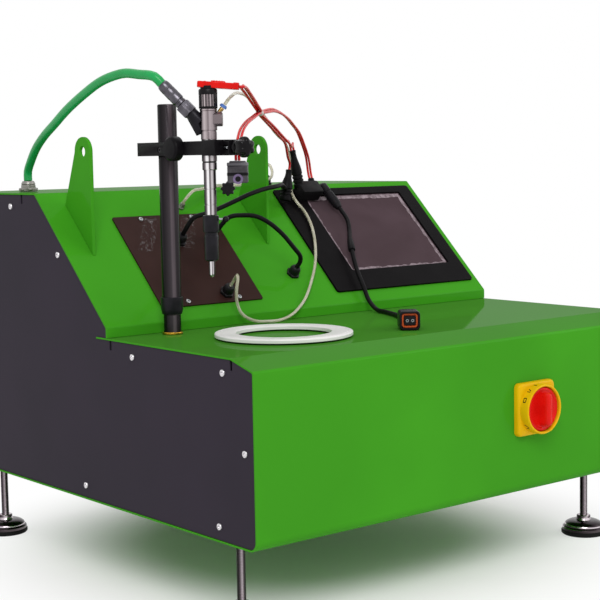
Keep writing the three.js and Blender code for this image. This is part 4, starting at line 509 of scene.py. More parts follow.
main_boot = (BOOT_FOOT, BOOT_TOP)
rear_boot = (REAR_BOOT_FOOT, REAR_BOOT_TOP)
side_boot = (SIDE_BOOT_FOOT, SIDE_BOOT_TOP)
wire_routes = [
    [*from_plug(0), *over_the_top(0), *into_boot(rear_boot, 1.5)],
    [*from_plug(1), *over_the_top(1), *into_boot(rear_boot, -1.5)],
    [*from_plug(2), *through_sleeve(2), (362, 389, 427), (377, 406, 428), *into_boot(main_boot, -1.5)],
    [*from_hanging(3), *through_sleeve(3), (361, 388, 406), *into_boot(side_boot, 0)],
    [*from_hanging(4), *through_sleeve(4), (369, 388, 420), (384, 405, 425), *into_boot(main_boot, 1.5)]]
WIRES_LEAVE = (340, 362, 428)
wire_lengths = (0.469, 0.466, 0.398, 0.408, 0.42)
wire_finishes = (faded_wire, faded_wire, bright_wire, faded_wire, bright_wire)
for number, (route, length, finish) in enumerate(zip(wire_routes, wire_lengths, wire_finishes), 1):
    cord(f"signal_wire_{number}", list(reversed(route)), WIRE_RADIUS, finish, "signal_wires",
         length, "object", "limp", moving=(WIRES_LEAVE, route[1]), count=90, sides=10)


# Levelling feet: a chromed steel dome, dark by painted reflections, pressed over a black rubber pad, on a
# plated stud that screws up into the base and turns with the foot.
def revolve(profile, start=(0, 0, 0), axis=(0, 0, 1), sides=64):
    """A turned shape from its [radius, reach] profile, which ends on the axis or comes back to its start."""
    axis = Vector(axis).normalized()
    across = axis.orthogonal().normalized()
    other = axis.cross(across)
    around_axis = [(math.cos(2 * math.pi * k / sides), math.sin(2 * math.pi * k / sides))
                   for k in range(sides)]
    bm = bmesh.new()
    rows = []
    for radius, reach in profile:
        centre = Vector(start) + axis * reach
        if radius == 0:
            rows.append([bm.verts.new(centre)] * sides)
        else:
            rows.append([bm.verts.new(centre + across * radius * c + other * radius * s)
                         for c, s in around_axis])
    for low, high in zip(rows, rows[1:]):
        for i in range(sides):
            corners = [low[i], low[(i + 1) % sides], high[(i + 1) % sides], high[i]]
            corners = [v for k, v in enumerate(corners) if v not in corners[:k]]
            if len(corners) > 2:
                bm.faces.new(corners)
    bmesh.ops.remove_doubles(bm, verts=bm.verts, dist=1e-5)
    return bm


def quarter_curve(start, end, steps):
    """The points between two [radius, reach] points on a quarter of an ellipse."""
    (r0, h0), (r1, h1) = start, end
    return [(r0 + (r1 - r0) * (1 - math.cos(t)), h0 + (h1 - h0) * math.sin(t))
            for t in (math.pi / 2 * k / steps for k in range(1, steps))]


def thread(radius, depth, low, high, pitch):
    """A profile of turned grooves that reads as a screw thread."""
    count = max(1, round((high - low) / pitch))
    step = (high - low) / count
    points = []
    for i in range(count):
        for share, groove in ((0, 0), (0.35, 0), (0.6, depth), (0.75, depth)):
            points.append((radius - groove, low + (i + share) * step))
    return points + [(radius, high)]


# Zinc plate on small screws and pins: grey, with a little haze.
zinc = grained(surface("zinc-plated steel", "#a9abae", Metallic=1), 2, (0.28, 0.45), 0.03)
# The dome's colour is a painted reflection: a bright ring where it would face the lamps, dark above and
# below, and the stud's colour is painted the same way.
dome_painted_reflections = ((0.0, "#171316"), (0.5, "#2e282b"), (0.6, "#5b5256"), (0.67, "#c9bdc3"), (0.73, "#e6dce1"),
              (0.79, "#4a4246"), (0.88, "#221d20"), (1.0, "#3a3337"))
stud_painted_reflections = ((0.0, "#171316"), (0.22, "#2e282b"), (0.4, "#6b6267"), (0.52, "#a79ca2"), (0.66, "#c9bfc4"),
              (0.78, "#5b5257"), (1.0, "#171316"))
dome_steel = paint_reflection_bands(surface("chromed steel with painted reflections", "#c9cacc", Metallic=1), dome_painted_reflections,
                    toward=(0.1, -0.2, 0.97))
stud_steel = paint_reflection_bands(surface("plated foot stud with painted reflections", "#8a8085", Metallic=1), stud_painted_reflections)
# Black nitrile pad: matt, with a fine moulded grain.
pad_rubber = grained(surface("black nitrile rubber", "#0f0e0f", Specular_IOR_Level=0.12), 1.5, (0.55, 0.75),
                     0.05)
BASE_HEIGHT = 97
FEET = {"front_left": (32, 71), "front_right": (598, 71), "rear_left": (32, 609), "rear_right": (598, 609)}
for foot_name, (foot_x, foot_y) in FEET.items():
    foot_place = (foot_x, foot_y, -BASE_HEIGHT)
    pad = revolve([(0, 0), (27.5, 0), (29, 1.5), (29, 4.6), (28.2, 6), (24, 6.1), (0, 6.1)], foot_place)
    dome = revolve([(0, 5.6), (28, 5.6), (28, 8.9), (27.2, 10.1), (25.6, 11.2),
                    *quarter_curve((25.6, 11.2), (10, 18.6), 10), (10, 18.6), (9.4, 20.2), (9, 21.5),
                    (0, 21.5)], foot_place)
    neck = revolve([(0, 20.6), (9, 20.6), (9, 24), (8.2, 25), (5, 25.4), *thread(5, 0.55, 26, 120, 1.75),
                    (4.3, 121), (0, 121)], foot_place, sides=40)
    piece(f"levelling_foot_{foot_name}", [(pad_rubber, pad), (dome_steel, dome), (stud_steel, neck)],
          f"{foot_name}_foot", f"foot_{foot_name}", sharp=32)


# Cabinet: folded and welded sheet steel, stoved in glossy green enamel. Flat faces have a deep shine with
# a slight orange peel, and the sheets' ends frame the two dark side panels.
green_enamel = grained(surface("glossy green stoved enamel", "#3f961f", Specular_IOR_Level=0.0,
                               Coat_Weight=0.15, Coat_Roughness=0.05, Coat_IOR=1.35), 6, (0.22, 0.3), 0.003,
                       colours=("#419a20", "#3d921e"), patch=180)
# Faces that look up are painted darker and browner: painted shade, for the weaker light that falls on
# the worktop and slope.
enamel_tree = green_enamel.node_tree
enamel_input = enamel_tree.nodes["Principled BSDF"].inputs["Base Color"]
unshaded_enamel = enamel_input.links[0].from_socket
world_up = add(enamel_tree, "ShaderNodeNewGeometry").outputs["Normal"]
upward = add(enamel_tree, "ShaderNodeVectorMath", {0: world_up, 1: (0, 0, 1)},
             operation="DOT_PRODUCT").outputs["Value"]
painted_top_shade = add(enamel_tree, "ShaderNodeMapRange", {"Value": upward, "From Min": 0.85, "From Max": 0.99,
                                                "To Max": 0.7})
top_shaded_enamel = add(enamel_tree, "ShaderNodeMix", {0: painted_top_shade.outputs[0], 6: unshaded_enamel, 7: tint("#41752a")},
             data_type="RGBA")
enamel_tree.links.new(top_shaded_enamel.outputs[2], enamel_input)
WIDTH, DEPTH, SHEET = 630, 650, 2
FRONT_LIP, WORKTOP_EDGE, WORKTOP = 189, 39, 200
CONSOLE_START, CONSOLE_STEP, CONSOLE_EDGE, TOP = 280, 212.5, 439, 367
def plane_at(origin, across, up, out):
    """The frame of a flat outline: its start, and which ways are across, up and out of it."""
    return Matrix.Translation(origin) @ Matrix((across, up, out)).transposed().to_4x4()


SIDE = plane_at((0, 0, 0), Y, Z, X)
SIDE_RIGHT = Matrix.Translation((WIDTH, 0, 0)) @ Matrix.Diagonal((-1, 1, 1, 1)) @ SIDE
FRONT = plane_at((0, 0, 0), X, Z, -Y)
SLOPE = plane_at(SLOPE_FOOT, X, SLOPE_UP, SLOPE_OUT)


def arc(across, high, radius, start, end, steps):
    return [(across + radius * math.cos(start + (end - start) * i / steps),
             high + radius * math.sin(start + (end - start) * i / steps)) for i in range(steps + 1)]


def rounded_box(left, right_side, low, high, radius, steps=6):
    quarter = math.pi / 2
    corners = ((right_side - radius, high - radius), (left + radius, high - radius),
               (left + radius, low + radius), (right_side - radius, low + radius))
    return [p for i, (x, y) in enumerate(corners)
            for p in arc(x, y, radius, i * quarter, (i + 1) * quarter, steps)]


def offset_line(line, distance, closed=False):
    count = len(line)
    normals = []
    for i in range(count):
        (x, y), (next_x, next_y) = line[i], line[(i + 1) % count]
        length = math.hypot(next_x - x, next_y - y) or 1
        normals.append(((next_y - y) / length, (x - next_x) / length))
    moved = []
    for i, (x, y) in enumerate(line):
        before = normals[i - 1] if closed or i > 0 else normals[i]
        after = normals[i] if closed or i < count - 1 else before
        reach = distance / (1 + before[0] * after[0] + before[1] * after[1])
        moved.append((x + (before[0] + after[0]) * reach, y + (before[1] + after[1]) * reach))
    return moved


def round_corners(line, radii, closed=False, steps=8):
    out = []
    for i, (x, y) in enumerate(line):
        if (not closed and i in (0, len(line) - 1)) or radii[i] == 0:
            out.append((x, y))
            continue
        corner = Vector((x, y))
        behind = (Vector(line[i - 1]) - corner).normalized()
        ahead = (Vector(line[(i + 1) % len(line)]) - corner).normalized()
        half = math.acos(max(-1, min(1, behind.dot(ahead)))) / 2
        centre = corner + (behind + ahead).normalized() * radii[i] / math.sin(half)
        first = corner + behind * radii[i] / math.tan(half) - centre
        last = corner + ahead * radii[i] / math.tan(half) - centre
        angle = math.atan2(first.x * last.y - first.y * last.x, first.dot(last))
        for step in range(steps + 1):
            t = angle * step / steps
            out.append((centre.x + first.x * math.cos(t) - first.y * math.sin(t),
                        centre.y + first.x * math.sin(t) + first.y * math.cos(t)))
    return out


def slab(outline, holes, depth, place, lift=0):
    """A flat shape of a thickness, with holes through it, set in a plane of its own."""
    bm = bmesh.new()
    edges = []
    for line in (outline, *holes):
        corners = [bm.verts.new((x, y, lift)) for x, y in line]
        edges += [bm.edges.new((a, b)) for a, b in zip(corners, corners[1:] + corners[:1])]
    if holes:
        bmesh.ops.triangle_fill(bm, edges=edges, use_beauty=True)
        bmesh.ops.dissolve_limit(bm, angle_limit=math.radians(1), verts=bm.verts, edges=bm.edges)
    else:
        bm.faces.new(bm.verts)
    raised = bmesh.ops.extrude_face_region(bm, geom=bm.faces[:])["geom"]
    bmesh.ops.translate(bm, verts=[v for v in raised if isinstance(v, bmesh.types.BMVert)], vec=(0, 0, depth))
    if not holes:
        low_faces = [f for f in bm.faces if all(abs(v.co.z - lift) < 1e-6 for v in f.verts)]
        if not low_faces:
            bm.faces.new([v for v in bm.verts if abs(v.co.z - lift) < 1e-6])
    bm.transform(place)
    return bm


def circle(across, high, radius, steps=48):
    return arc(across, high, radius, 0, 2 * math.pi, steps)[:steps]


def folded(line):
    return slab(line + offset_line(line, SHEET)[::-1], [], WIDTH, SIDE)


front_folds = [(28, 0), (0, 0), (0, FRONT_LIP), (WORKTOP_EDGE, WORKTOP), (304, WORKTOP)]
console_folds = [(CONSOLE_START, WORKTOP + CLEAR), (CONSOLE_START, CONSOLE_STEP), (CONSOLE_EDGE, TOP),
                 (DEPTH, TOP), (DEPTH, 340)]
front_line = round_corners(front_folds, [0, 12, 4, 4, 0], steps=10)
piece("front_and_worktop_sheet", [(green_enamel, folded(front_line))], "cabinet",
      "front_worktop_panel", bevel=0.3, sharp=40)
console_line = round_corners(console_folds, [0, 4, 4, 4, 0], steps=8)
# The cable glands of the console and plate are black polyamide: a hexagon, a ribbed domed cap and a
# threaded tail. The ports for the hose and the sensor's tube are nickel-plated brass.
gland_nickel = grained(surface("nickel-plated brass", "#8f8c88", Metallic=1), 2, (0.25, 0.42), 0.02)
gland_black = grained(surface("black polyamide gland", "#121114", Specular_IOR_Level=0.2), 1.2, (0.35, 0.5),
                      0.03)


def hexagon(radius, low, high, start, axis):
    """A nut with its corners turned off at both ends."""
    axis = Vector(axis).normalized()
    across = axis.orthogonal().normalized()
    other = axis.cross(across)
    sixth = math.pi / 3
    turned = radius * math.cos(sixth / 2) * 0.97
    rings = []
    for reach, corner in ((low, None), (low + 0.7, radius * 0.995), (high - 0.7, radius * 0.995),
                          (high, None)):
        ring = []
        for k in range(24):
            angle = 2 * math.pi * k / 24
            out = corner * math.cos(sixth / 2) / math.cos(angle % sixth - sixth / 2) if corner else turned
            outwards = across * math.cos(angle) + other * math.sin(angle)
            ring.append(Vector(start) + axis * reach + outwards * out)
        rings.append(ring)
    return skin(rings)


def ribs_round(start, axis, count, low, high, low_radius, high_radius, thickness):
    """Straight ribs round an axis, from one reach and radius to another."""
    sideways = axis.orthogonal().normalized()
    outs = [Quaternion(axis, 2 * math.pi * k / count) @ sideways for k in range(count)]
    return [skin(rings_along([start + axis * low + out * low_radius, start + axis * high + out * high_radius],
                             thickness, 6)) for out in outs]


def gland_shapes(foot, axis):
    cap = revolve([(0, 3.6), (7, 3.6), (7, 9.2), (6.7, 10.6), (5.9, 12.6), (5.2, 13.6), (4.6, 14), (0, 14)],
                  foot, axis)
    ribs = ribs_round(foot, axis, 12, 4.3, 10, 7, 6.85, 0.55)
    tail = revolve([(0, -12), (4.7, -12), *thread(5, 0.4, -11.5, -2, 1.5), (5, 0.4), (0, 0.4)], foot, axis,
                   32)
    return [(gland_black, shape) for shape in (hexagon(9.5, 0.05, 4, foot, axis), cap, tail, *ribs)]


def finish_solid(node, material):
    """Gives a CAD solid that is seen as it is the finish of the real part."""
    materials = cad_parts[node].data.materials
    materials.clear()
    materials.append(material)


tube_port = revolve([(0, -8), (4, -8), (4, 2.5), (3.4, 3.2), (3.9, 4.2), (3.3, 5.4), (3.8, 6.4), (2.9, 9),
                     (0, 9)], on_slope(*TUBE_PORT, 0), SLOPE_OUT, 40)
piece("console_sheet", [
    (green_enamel, folded(console_line)), *gland_shapes(on_slope(*CABLE_END, 0), SLOPE_OUT),
    *gland_shapes(SENSOR_PORT, Z), (gland_nickel, tube_port)], "cabinet", "console_panel",
    bevel=0.3, sharp=40)
hose_port_foot = SENSOR_PORT + Vector((-345, 63, 0))
port_profile = [(0, 4.6), (9.4, 4.6), (9.4, 8.6), (8.6, 9.4), (9.3, 10.2), (8.3, 12.4), (7.4, 14), (0, 14)]
port_shapes = (hexagon(12.8, 0.35, 5.2, hose_port_foot, Z), revolve(port_profile, hose_port_foot, Z))
piece("hose_port_fitting", [(gland_nickel, shape) for shape in port_shapes], "cabinet",
      "hose_port", bevel=0.2)
finish_solid("rear_panel", green_enamel)
finish_solid("base_tray", green_enamel)

# The two side panels are cut sheet in dark slate powder coat: satin, with a fine even texture. Three
# relief slots show at the folds, and pan-head screws hold the panel to the flanges behind it.
slate_coat = grained(surface("dark slate powder coat", "#322c37", Specular_IOR_Level=0.06), 0.9, (0.42, 0.58),
                     0.02, colours=("#322c37", "#2f2a34"), patch=120)
screw_steel = grained(surface("blackened socket screw", "#3c3a3e", Metallic=0.8), 0.8, (0.3, 0.5), 0.02)
shell = [(0, 0), (0, FRONT_LIP), (WORKTOP_EDGE, WORKTOP), (CONSOLE_START, WORKTOP),
         (CONSOLE_START, CONSOLE_STEP), (CONSOLE_EDGE, TOP), (DEPTH, TOP), (DEPTH, 0)]
LIP_SLOT, STEP_SLOT, DECK_SLOT = (37, 41), (272, 276), (472.5, 476.5)
SLOT_DEPTH = 11


def notch(slot, level):
    start, end = slot
    return [(start, level), (start, level - SLOT_DEPTH), (end, level - SLOT_DEPTH), (end, level)]


def notched_outline(inset):
    """The side panel's outline, drawn in from the sheets' faces, with its relief slots."""
    plain = offset_line(shell, inset, closed=True)
    worktop, deck = plain[3][1], plain[5][1]
    bend = 4 - inset
    line = []
    for x, y in round_corners(plain, [12 - inset, bend, 0, 0, 0, bend, bend, 0], closed=True, steps=6):
        if (x, y) == plain[2]:
            line += [(LIP_SLOT[0], y - 0.6), *notch(LIP_SLOT, worktop)[1:]]
        elif (x, y) == plain[3]:
            line += [*notch(STEP_SLOT, worktop), (x, y)]
        else:
            line.append((x, y))
    for i, (x, y) in enumerate(line):
        if abs(y - deck) < 0.01 and x < DECK_SLOT[0] and line[i + 1][0] > DECK_SLOT[1]:
            return line[:i + 1] + notch(DECK_SLOT, deck) + line[i + 1:]
    return line


def screw_head(radius, height):
    """A pan-head screw with a six-sided socket, standing on the origin."""
    bm = revolve([(0, -1.2), (radius * 0.5, -1.2), (radius * 0.5, 0), (radius, 0), (radius, height * 0.45),
                  (radius * 0.9, height * 0.8), (radius * 0.68, height), (radius * 0.42, height)], sides=24)
    bm.verts.ensure_lookup_table()
    rim = [e for e in bm.edges if len(e.link_faces) == 1]
    floor_ring = bmesh.ops.extrude_edge_only(bm, edges=rim)["geom"]
    for v in (g for g in floor_ring if isinstance(g, bmesh.types.BMVert)):
        v.co.z -= height * 0.55
    bmesh.ops.contextual_create(bm, geom=[g for g in floor_ring if isinstance(g, bmesh.types.BMEdge)])
    bmesh.ops.recalc_face_normals(bm, faces=bm.faces)
    mesh = bpy.data.meshes.new("screw head")
    bm.to_mesh(mesh)
    bm.free()
    mesh.transform(Matrix.Scale(0.001, 4))
    return mesh


def screw_tree(material):
    """Geometry nodes that set one screw head on every point, turned to the point's facing."""
    tree = bpy.data.node_groups.new("screws on points", "GeometryNodeTree")
    tree.interface.new_socket("Geometry", in_out="INPUT", socket_type="NodeSocketGeometry")
    tree.interface.new_socket("Screw", in_out="INPUT", socket_type="NodeSocketObject")
    tree.interface.new_socket("Size", in_out="INPUT", socket_type="NodeSocketFloat").default_value = 1
    tree.interface.new_socket("Geometry", in_out="OUTPUT", socket_type="NodeSocketGeometry")
    given = add(tree, "NodeGroupInput").outputs
    head = add(tree, "GeometryNodeObjectInfo", {"Object": given["Screw"]}).outputs["Geometry"]
    facing = add(tree, "GeometryNodeInputNamedAttribute", {"Name": "facing"},
                 data_type="FLOAT_VECTOR").outputs["Attribute"]
    turned_to = add(tree, "FunctionNodeAlignRotationToVector", {"Vector": facing}, axis="Z").outputs[0]
    seed = add(tree, "FunctionNodeRandomValue", {"Max": (0, 0, 6.28), "Seed": 7},
               data_type="FLOAT_VECTOR").outputs[0]
    spun = add(tree, "FunctionNodeRotateRotation", {"Rotation": turned_to, "Rotate By": seed},
               rotation_space="LOCAL")
    heads = add(tree, "GeometryNodeInstanceOnPoints", {
        "Points": given["Geometry"], "Instance": head, "Rotation": spun.outputs[0], "Scale": given["Size"]})
    real = add(tree, "GeometryNodeRealizeInstances", {"Geometry": heads.outputs[0]})
    finished = add(tree, "GeometryNodeSetMaterial", {"Geometry": real.outputs[0], "Material": material})
    add(tree, "NodeGroupOutput", {"Geometry": finished.outputs[0]})
    return tree


def screw_set(name, material, head, places, facing, node):
    """Scatters one screw head over the places and makes the screws one plain mesh on the cabinet."""
    tree = screw_tree(material)
    points = bpy.data.meshes.new("places")
    points.from_pydata([ROW @ Vector(p) for p in places], [], [])
    directions = points.attributes.new("facing", "FLOAT_VECTOR", "POINT")
    for direction in directions.data:
        direction.vector = facing
    source = bpy.data.objects.new("source", head)
    carrier = bpy.data.objects.new("carrier", points)
    scene.collection.objects.link(source)
    scene.collection.objects.link(carrier)
    nodes = carrier.modifiers.new("screws", "NODES")
    nodes.node_group = tree
    sockets = {item.name: item.identifier for item in tree.interface.items_tree if item.in_out == "INPUT"}
    nodes[sockets["Screw"]] = source
    nodes[sockets["Size"]] = 1.0
    mesh = bpy.data.meshes.new_from_object(carrier.evaluated_get(bpy.context.evaluated_depsgraph_get()))
    bpy.data.objects.remove(carrier)
    bpy.data.objects.remove(source)
    for polygon in mesh.polygons:
        polygon.use_smooth = True
    mesh.set_sharp_from_angle(angle=math.radians(35))
    screws = bpy.data.objects.new(name, mesh)
    scene.collection.objects.link(screws)
    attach(screws, "cabinet")
    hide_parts(node)


SCREW_EDGE = 17
slope_rise, slope_run = TOP - CONSOLE_STEP, CONSOLE_EDGE - CONSOLE_START
slope_screw = on_slope(0, (SLOPE_UP.y * slope_run + SLOPE_UP.z * slope_rise) * 0.6, -SCREW_EDGE)
side_screws = [
    (SCREW_EDGE, FRONT_LIP * 0.54),
    *((CONSOLE_START * share, WORKTOP - SCREW_EDGE) for share in (0.19, 0.81)),
    *((DEPTH * share, SCREW_EDGE) for share in (0.1, 0.52, 0.93)),
    (slope_screw.y, slope_screw.z),
    *((CONSOLE_EDGE + (DEPTH - CONSOLE_EDGE) * share, TOP - SCREW_EDGE) for share in (0.3, 0.9)),
    *((DEPTH - SCREW_EDGE, TOP * share) for share in (0.3, 0.75))]
pan_head = screw_head(4, 2.2)
bright_zinc = grained(surface("bright zinc pan-head screw", "#d6d3d6", Metallic=1), 0.8, (0.18, 0.32), 0.01)
for side_name, place, out, face_x in (("left", SIDE, -1, 1), ("right", SIDE_RIGHT, 1, WIDTH - 1)):
    panel = slab(notched_outline(2.3), [], 2, place, 1)
    piece(f"{side_name}_side_sheet", [(slate_coat, panel)], "cabinet",
          f"{side_name}_side_panel", bevel=0.25, sharp=40)
    screw_set(f"{side_name}_side_screws", bright_zinc, pan_head, [(face_x, y, z) for y, z in side_screws],
              (out, 0, 0), f"{side_name}_side_panel")

# The ears are thick plate welded to the slope, with a soft edge and a hole for the cover's pin.
EAR_HEIGHT, EAR_RADIUS, EAR_PLATE = 417, 18, 4.5
for side_name, ear_x in (("left", 36), ("right", 304)):
    ear_front, ear_rear = on_slope(0, 113, CLEAR), on_slope(0, 200, CLEAR)
    centre_y = ear_front.y + EAR_RADIUS
    ear = [(ear_front.y, ear_front.z), *arc(centre_y, EAR_HEIGHT, EAR_RADIUS, math.pi, 0, 32),
           (ear_rear.y, ear_rear.z)]
    plate = slab(ear, [circle(centre_y, EAR_HEIGHT, 6.5, 40)], EAR_PLATE, SIDE, ear_x - EAR_PLATE / 2)
    piece(f"{side_name}_ear_plate", [(green_enamel, plate)], "cabinet",
          f"{side_name}_cover_ear", bevel=0.7, sharp=40)


# Main switch: a square yellow ABS plate with a raised collar, moulded in one, and a red knob that turns
# inside the collar, with a tall grip across it. Black marks are printed round the collar's side.
yellow_abs = grained(surface("yellow moulded ABS", "#e6b50a", Specular_IOR_Level=0.08), 1.4, (0.28, 0.4),
                     0.02, colours=("#e6b70b", "#deae08"), patch=25)
red_abs = grained(surface("red moulded ABS", "#dc120b", Specular_IOR_Level=0.14), 1.4, (0.24, 0.36), 0.03,
                  colours=("#dc150d", "#cc100a"), patch=25)
black_abs = grained(surface("black moulded ABS", "#0e0c0f", Specular_IOR_Level=0.14), 1.1, (0.26, 0.4), 0.02,
                    colours=("#0d0b0e", "#121013"), patch=30)
SWITCH_X, SWITCH_Z = 419, 102
SWITCH_HALF, GRIP_HALF_WIDTH, GRIP_HALF_LENGTH = 32, 5.5, 20


def at_switch(out):
    return Vector((SWITCH_X, -out, SWITCH_Z))


def pillow(outline_at, levels, place):
    """A solid that rises by levels, each an inset and a height, over an outline that takes the inset."""
    return skin([[place @ Vector((x, y, height)) for x, y in outline_at(inset)] for inset, height in levels])


def drawn_in(left, right_side, low, high, corner, least=0.3, steps=5, tighten=1):
    """An outline for pillow: a rounded box that draws in by the inset, and its corners with it."""
    def outline(inset):
        return rounded_box(left + inset, right_side - inset, low + inset, high - inset,
                           max(least, corner - inset * tighten), steps)
    return outline


def switch_box(half_width, half_height, *corner):
    return drawn_in(SWITCH_X - half_width, SWITCH_X + half_width, SWITCH_Z - half_height, SWITCH_Z
                    + half_height, *corner)


square = pillow(switch_box(SWITCH_HALF, SWITCH_HALF, 6, 0, 8, 0.4),
                [(0, 0.3), (0, 4.5), (0.5, 6.3), (1.6, 7.6), (3.2, 8.25), (8, 8.3)], FRONT)
collar = revolve([(27, 4), (30, 4), (30, 18.4), (29.4, 19.7), (28.6, 20.2), (27.6, 19.9), (27, 19), (27, 4)],
                 at_switch(0), (0, -1, 0), 96)

COLLAR_SIDE = 29.9


def on_collar(turn, out):
    angle = math.radians(turn)
    return Vector((SWITCH_X + COLLAR_SIDE * math.cos(angle), -out, SWITCH_Z + COLLAR_SIDE * math.sin(angle)))


black_ink = grained(surface("black printing ink", "#15120d", Specular_IOR_Level=0.1), 1, (0.5, 0.65))
strokes = [((106, 10.5), (106, 15)), ((124, 10.5), (129, 15)), ((132, 10.5), (132, 15)),
           ((150, 11), (158, 11)), ((150, 14.6), (158, 14.6)), ((149, 11), (149, 14.6)),
           ((159, 11), (159, 14.6)), ((214, 10.5), (222, 15)), ((226, 10.5), (226, 14))]
figures = [rod(on_collar(*a), on_collar(*b), 0.55, sides=8) for a, b in strokes]
plate_shapes = [(yellow_abs, square), (yellow_abs, collar), *((black_ink, figure) for figure in figures)]
piece("switch_plate_moulding", plate_shapes, "cabinet", "switch_plate", sharp=30)
knob_dish = revolve([(0, 8.8), (25.6, 8.8), (26.2, 9.6), (26.2, 16.2), (25.8, 17.2), (24.8, 17.8),
                     (23.4, 17.9), (21.8, 16.6), (12, 15.4), (0, 15.2)], at_switch(0), (0, -1, 0), 80)

grip = pillow(switch_box(GRIP_HALF_WIDTH, GRIP_HALF_LENGTH, 4.5, 0.8, 8),
              [(-0.6, 14), (0, 16.6), (0.25, 23), (0.6, 26.2), (1.3, 27.7), (2.4, 28.4), (4.6, 28.6)], FRONT)
spindle = revolve([(0, -22), (3.4, -22), (4, -21), (4, 9), (0, 9)], at_switch(0), (0, -1, 0), 32)
piece("switch_knob", [(red_abs, knob_dish), (red_abs, grip), (red_abs, spindle)], "switch",
      "switch_handle", sharp=32)

# Clamp stand: a blackened steel post in a brass foot ring, with a black enamelled cast arm that slides on
# it, a bright jaw and a screw with a lobed black knob.
black_steel = grained(surface("blackened steel", "#151418", Metallic=0.3, Specular_IOR_Level=0.2), 0.9,
                      (0.26, 0.42), 0.01, (1, 1, 4), colours=("#131216", "#1d1b21"), patch=14)
cast_black = grained(surface("black enamelled casting", "#0d0b0e", Specular_IOR_Level=0.07), 1.8, (0.3, 0.44),
                     0.05, colours=("#0b090c", "#121013"), patch=12)
# Turned and polished steel: bright, with fine rings round the axis and a slightly uneven gloss.
bright_steel = grained(surface("turned bright steel", "#b9bbbf", Metallic=1), 0.7, (0.16, 0.34), 0.015,
                       (1, 1, 8), colours=("#b2b4b8", "#c3c5c9"), patch=10)
brass = grained(surface("turned brass", "#b3924e", Metallic=1), 0.8, (0.22, 0.38), 0.015, (1, 1, 6),
                colours=("#b3924e", "#a3824a"), patch=8)
# Blackened steel bar stock, with a painted sheen in its colour: a dull grey streak down its length where it
# would face the light.
post_painted_sheen = ((0.0, "#0c0a0c"), (0.22, "#171417"), (0.42, "#302b2f"), (0.56, "#3c363b"), (0.64, "#5c5359"),
              (0.74, "#564d53"), (0.82, "#2c272b"), (1.0, "#0c0a0c"))
post_steel = paint_reflection_bands(surface("blackened post steel with painted sheen", "#2c282c", Metallic=0.2, Specular_IOR_Level=0.12),
                    post_painted_sheen)
gold_brass = grained(surface("polished brass", "#d8a53a", Metallic=1), 0.8, (0.2, 0.32), 0.015, (1, 1, 6),
                     colours=("#dca93e", "#c99731"), patch=8)
POST = (79, 260, 0)
post_bar = revolve([(0, 170), (9.6, 170), (10.3, 170.8), (10.3, 223.2), (11.25, 224), (11.25, 468.6),
                    (10.9, 469.5), (10.2, 470), (0, 470)], POST)
piece("post_bar", [(post_steel, post_bar)], "cabinet", "post", sharp=32)
foot_ring = revolve([(10.6, 200.3), (12.1, 200.3), (12.4, 200.6), (12.4, 202.2), (12, 202.8), (11.2, 203),
                     (10.6, 202.9), (10.6, 200.3)], POST)
piece("post_foot_ring", [(gold_brass, foot_ring)], "cabinet", "post_base_ring", sharp=32)
post_collar = revolve([(11.55, 224.3), (11.8, 224.3), (12, 224.8), (13.2, 230.3), (13.2, 243.5),
                       (12.8, 244.1), (11.55, 244.3), (11.55, 224.3)], POST)
piece("post_collar", [(black_steel, post_collar)], "cabinet", "post_stop_collar", sharp=28)


def copy_of(node):
    """A bmesh of a CAD solid in millimetres, its loose triangles joined and its flat faces whole."""
    bm = bmesh.new()
    bm.from_mesh(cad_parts[node].data)
    bmesh.ops.remove_doubles(bm, verts=bm.verts, dist=1e-6)
    bm.transform(ROW.inverted())
    bmesh.ops.dissolve_limit(bm, angle_limit=math.radians(1), verts=bm.verts, edges=bm.edges)
    return bm


ARM_Z = 418
guide_pin = rod((71.3, 129.6, ARM_Z), (71.3, 137, ARM_Z), 2.1)
piece("clamp_arm_casting", [(cast_black, copy_of("clamp_arm")), (bright_steel, guide_pin)], "arm",
      "clamp_arm", bevel=0.7, sharp=40, segments=3)
piece("clamp_jaw_block", [(bright_steel, copy_of("clamp_jaw"))], "jaw", "clamp_jaw",
      bevel=0.4, sharp=40)
piece("set_screw", [(screw_steel, copy_of("collar_screw"))], "set_screw", "collar_screw",
      sharp=40)
INJECTOR_RADIUS, JAW_DEPTH, JAW_SEAT, RING_THICK, RING_PLAY = 8.6, 12.6, 5.5, 2, 0.7
JAW_FRONT = INJECTOR_Y - INJECTOR_RADIUS - CLEAR - JAW_DEPTH
WINDOW_FRONT = JAW_FRONT - 2.5 - RING_PLAY - RING_THICK - CLEAR
ARM_FRONT = 126
KNOB_REAR = ARM_FRONT - CLEAR
HUB_FRONT = KNOB_REAR - 5
KNOB_LENGTH = 18
SCREW_TIP = JAW_FRONT + JAW_SEAT


def on_screw(y):
    return Vector((INJECTOR_X, y, ARM_Z))


screw_start = KNOB_REAR - 15 + CLEAR
screw_length = SCREW_TIP - screw_start
clamp_thread = revolve([(0, 0), *thread(4, 0.5, 0.6, screw_length - 1, 1.25), (3.4, screw_length),
                        (0, screw_length)], on_screw(screw_start), (0, 1, 0), 32)
screw_ring = revolve([(3, 0.3), (5.7, 0.3), (6, 0.6), (6, 2), (5.7, 2.3), (3, 2.3), (3, 0.3)],
                     on_screw(WINDOW_FRONT), (0, 1, 0), 40)
piece("clamp_screw_thread", [(bright_steel, clamp_thread), (bright_steel, screw_ring)], "knob",
      "clamp_screw", sharp=30)


def lobed(size, y):
    """One section of the knob's six-lobed grip."""
    points = []
    for k in range(96):
        angle = 2 * math.pi * k / 96
        wave = -math.cos(6 * angle)
        radius = size * (10.5 + 1.1 * math.copysign(abs(wave) ** 0.8, wave))
        points.append(on_screw(y) + Vector((math.cos(angle), 0, math.sin(angle))) * radius)
    return points


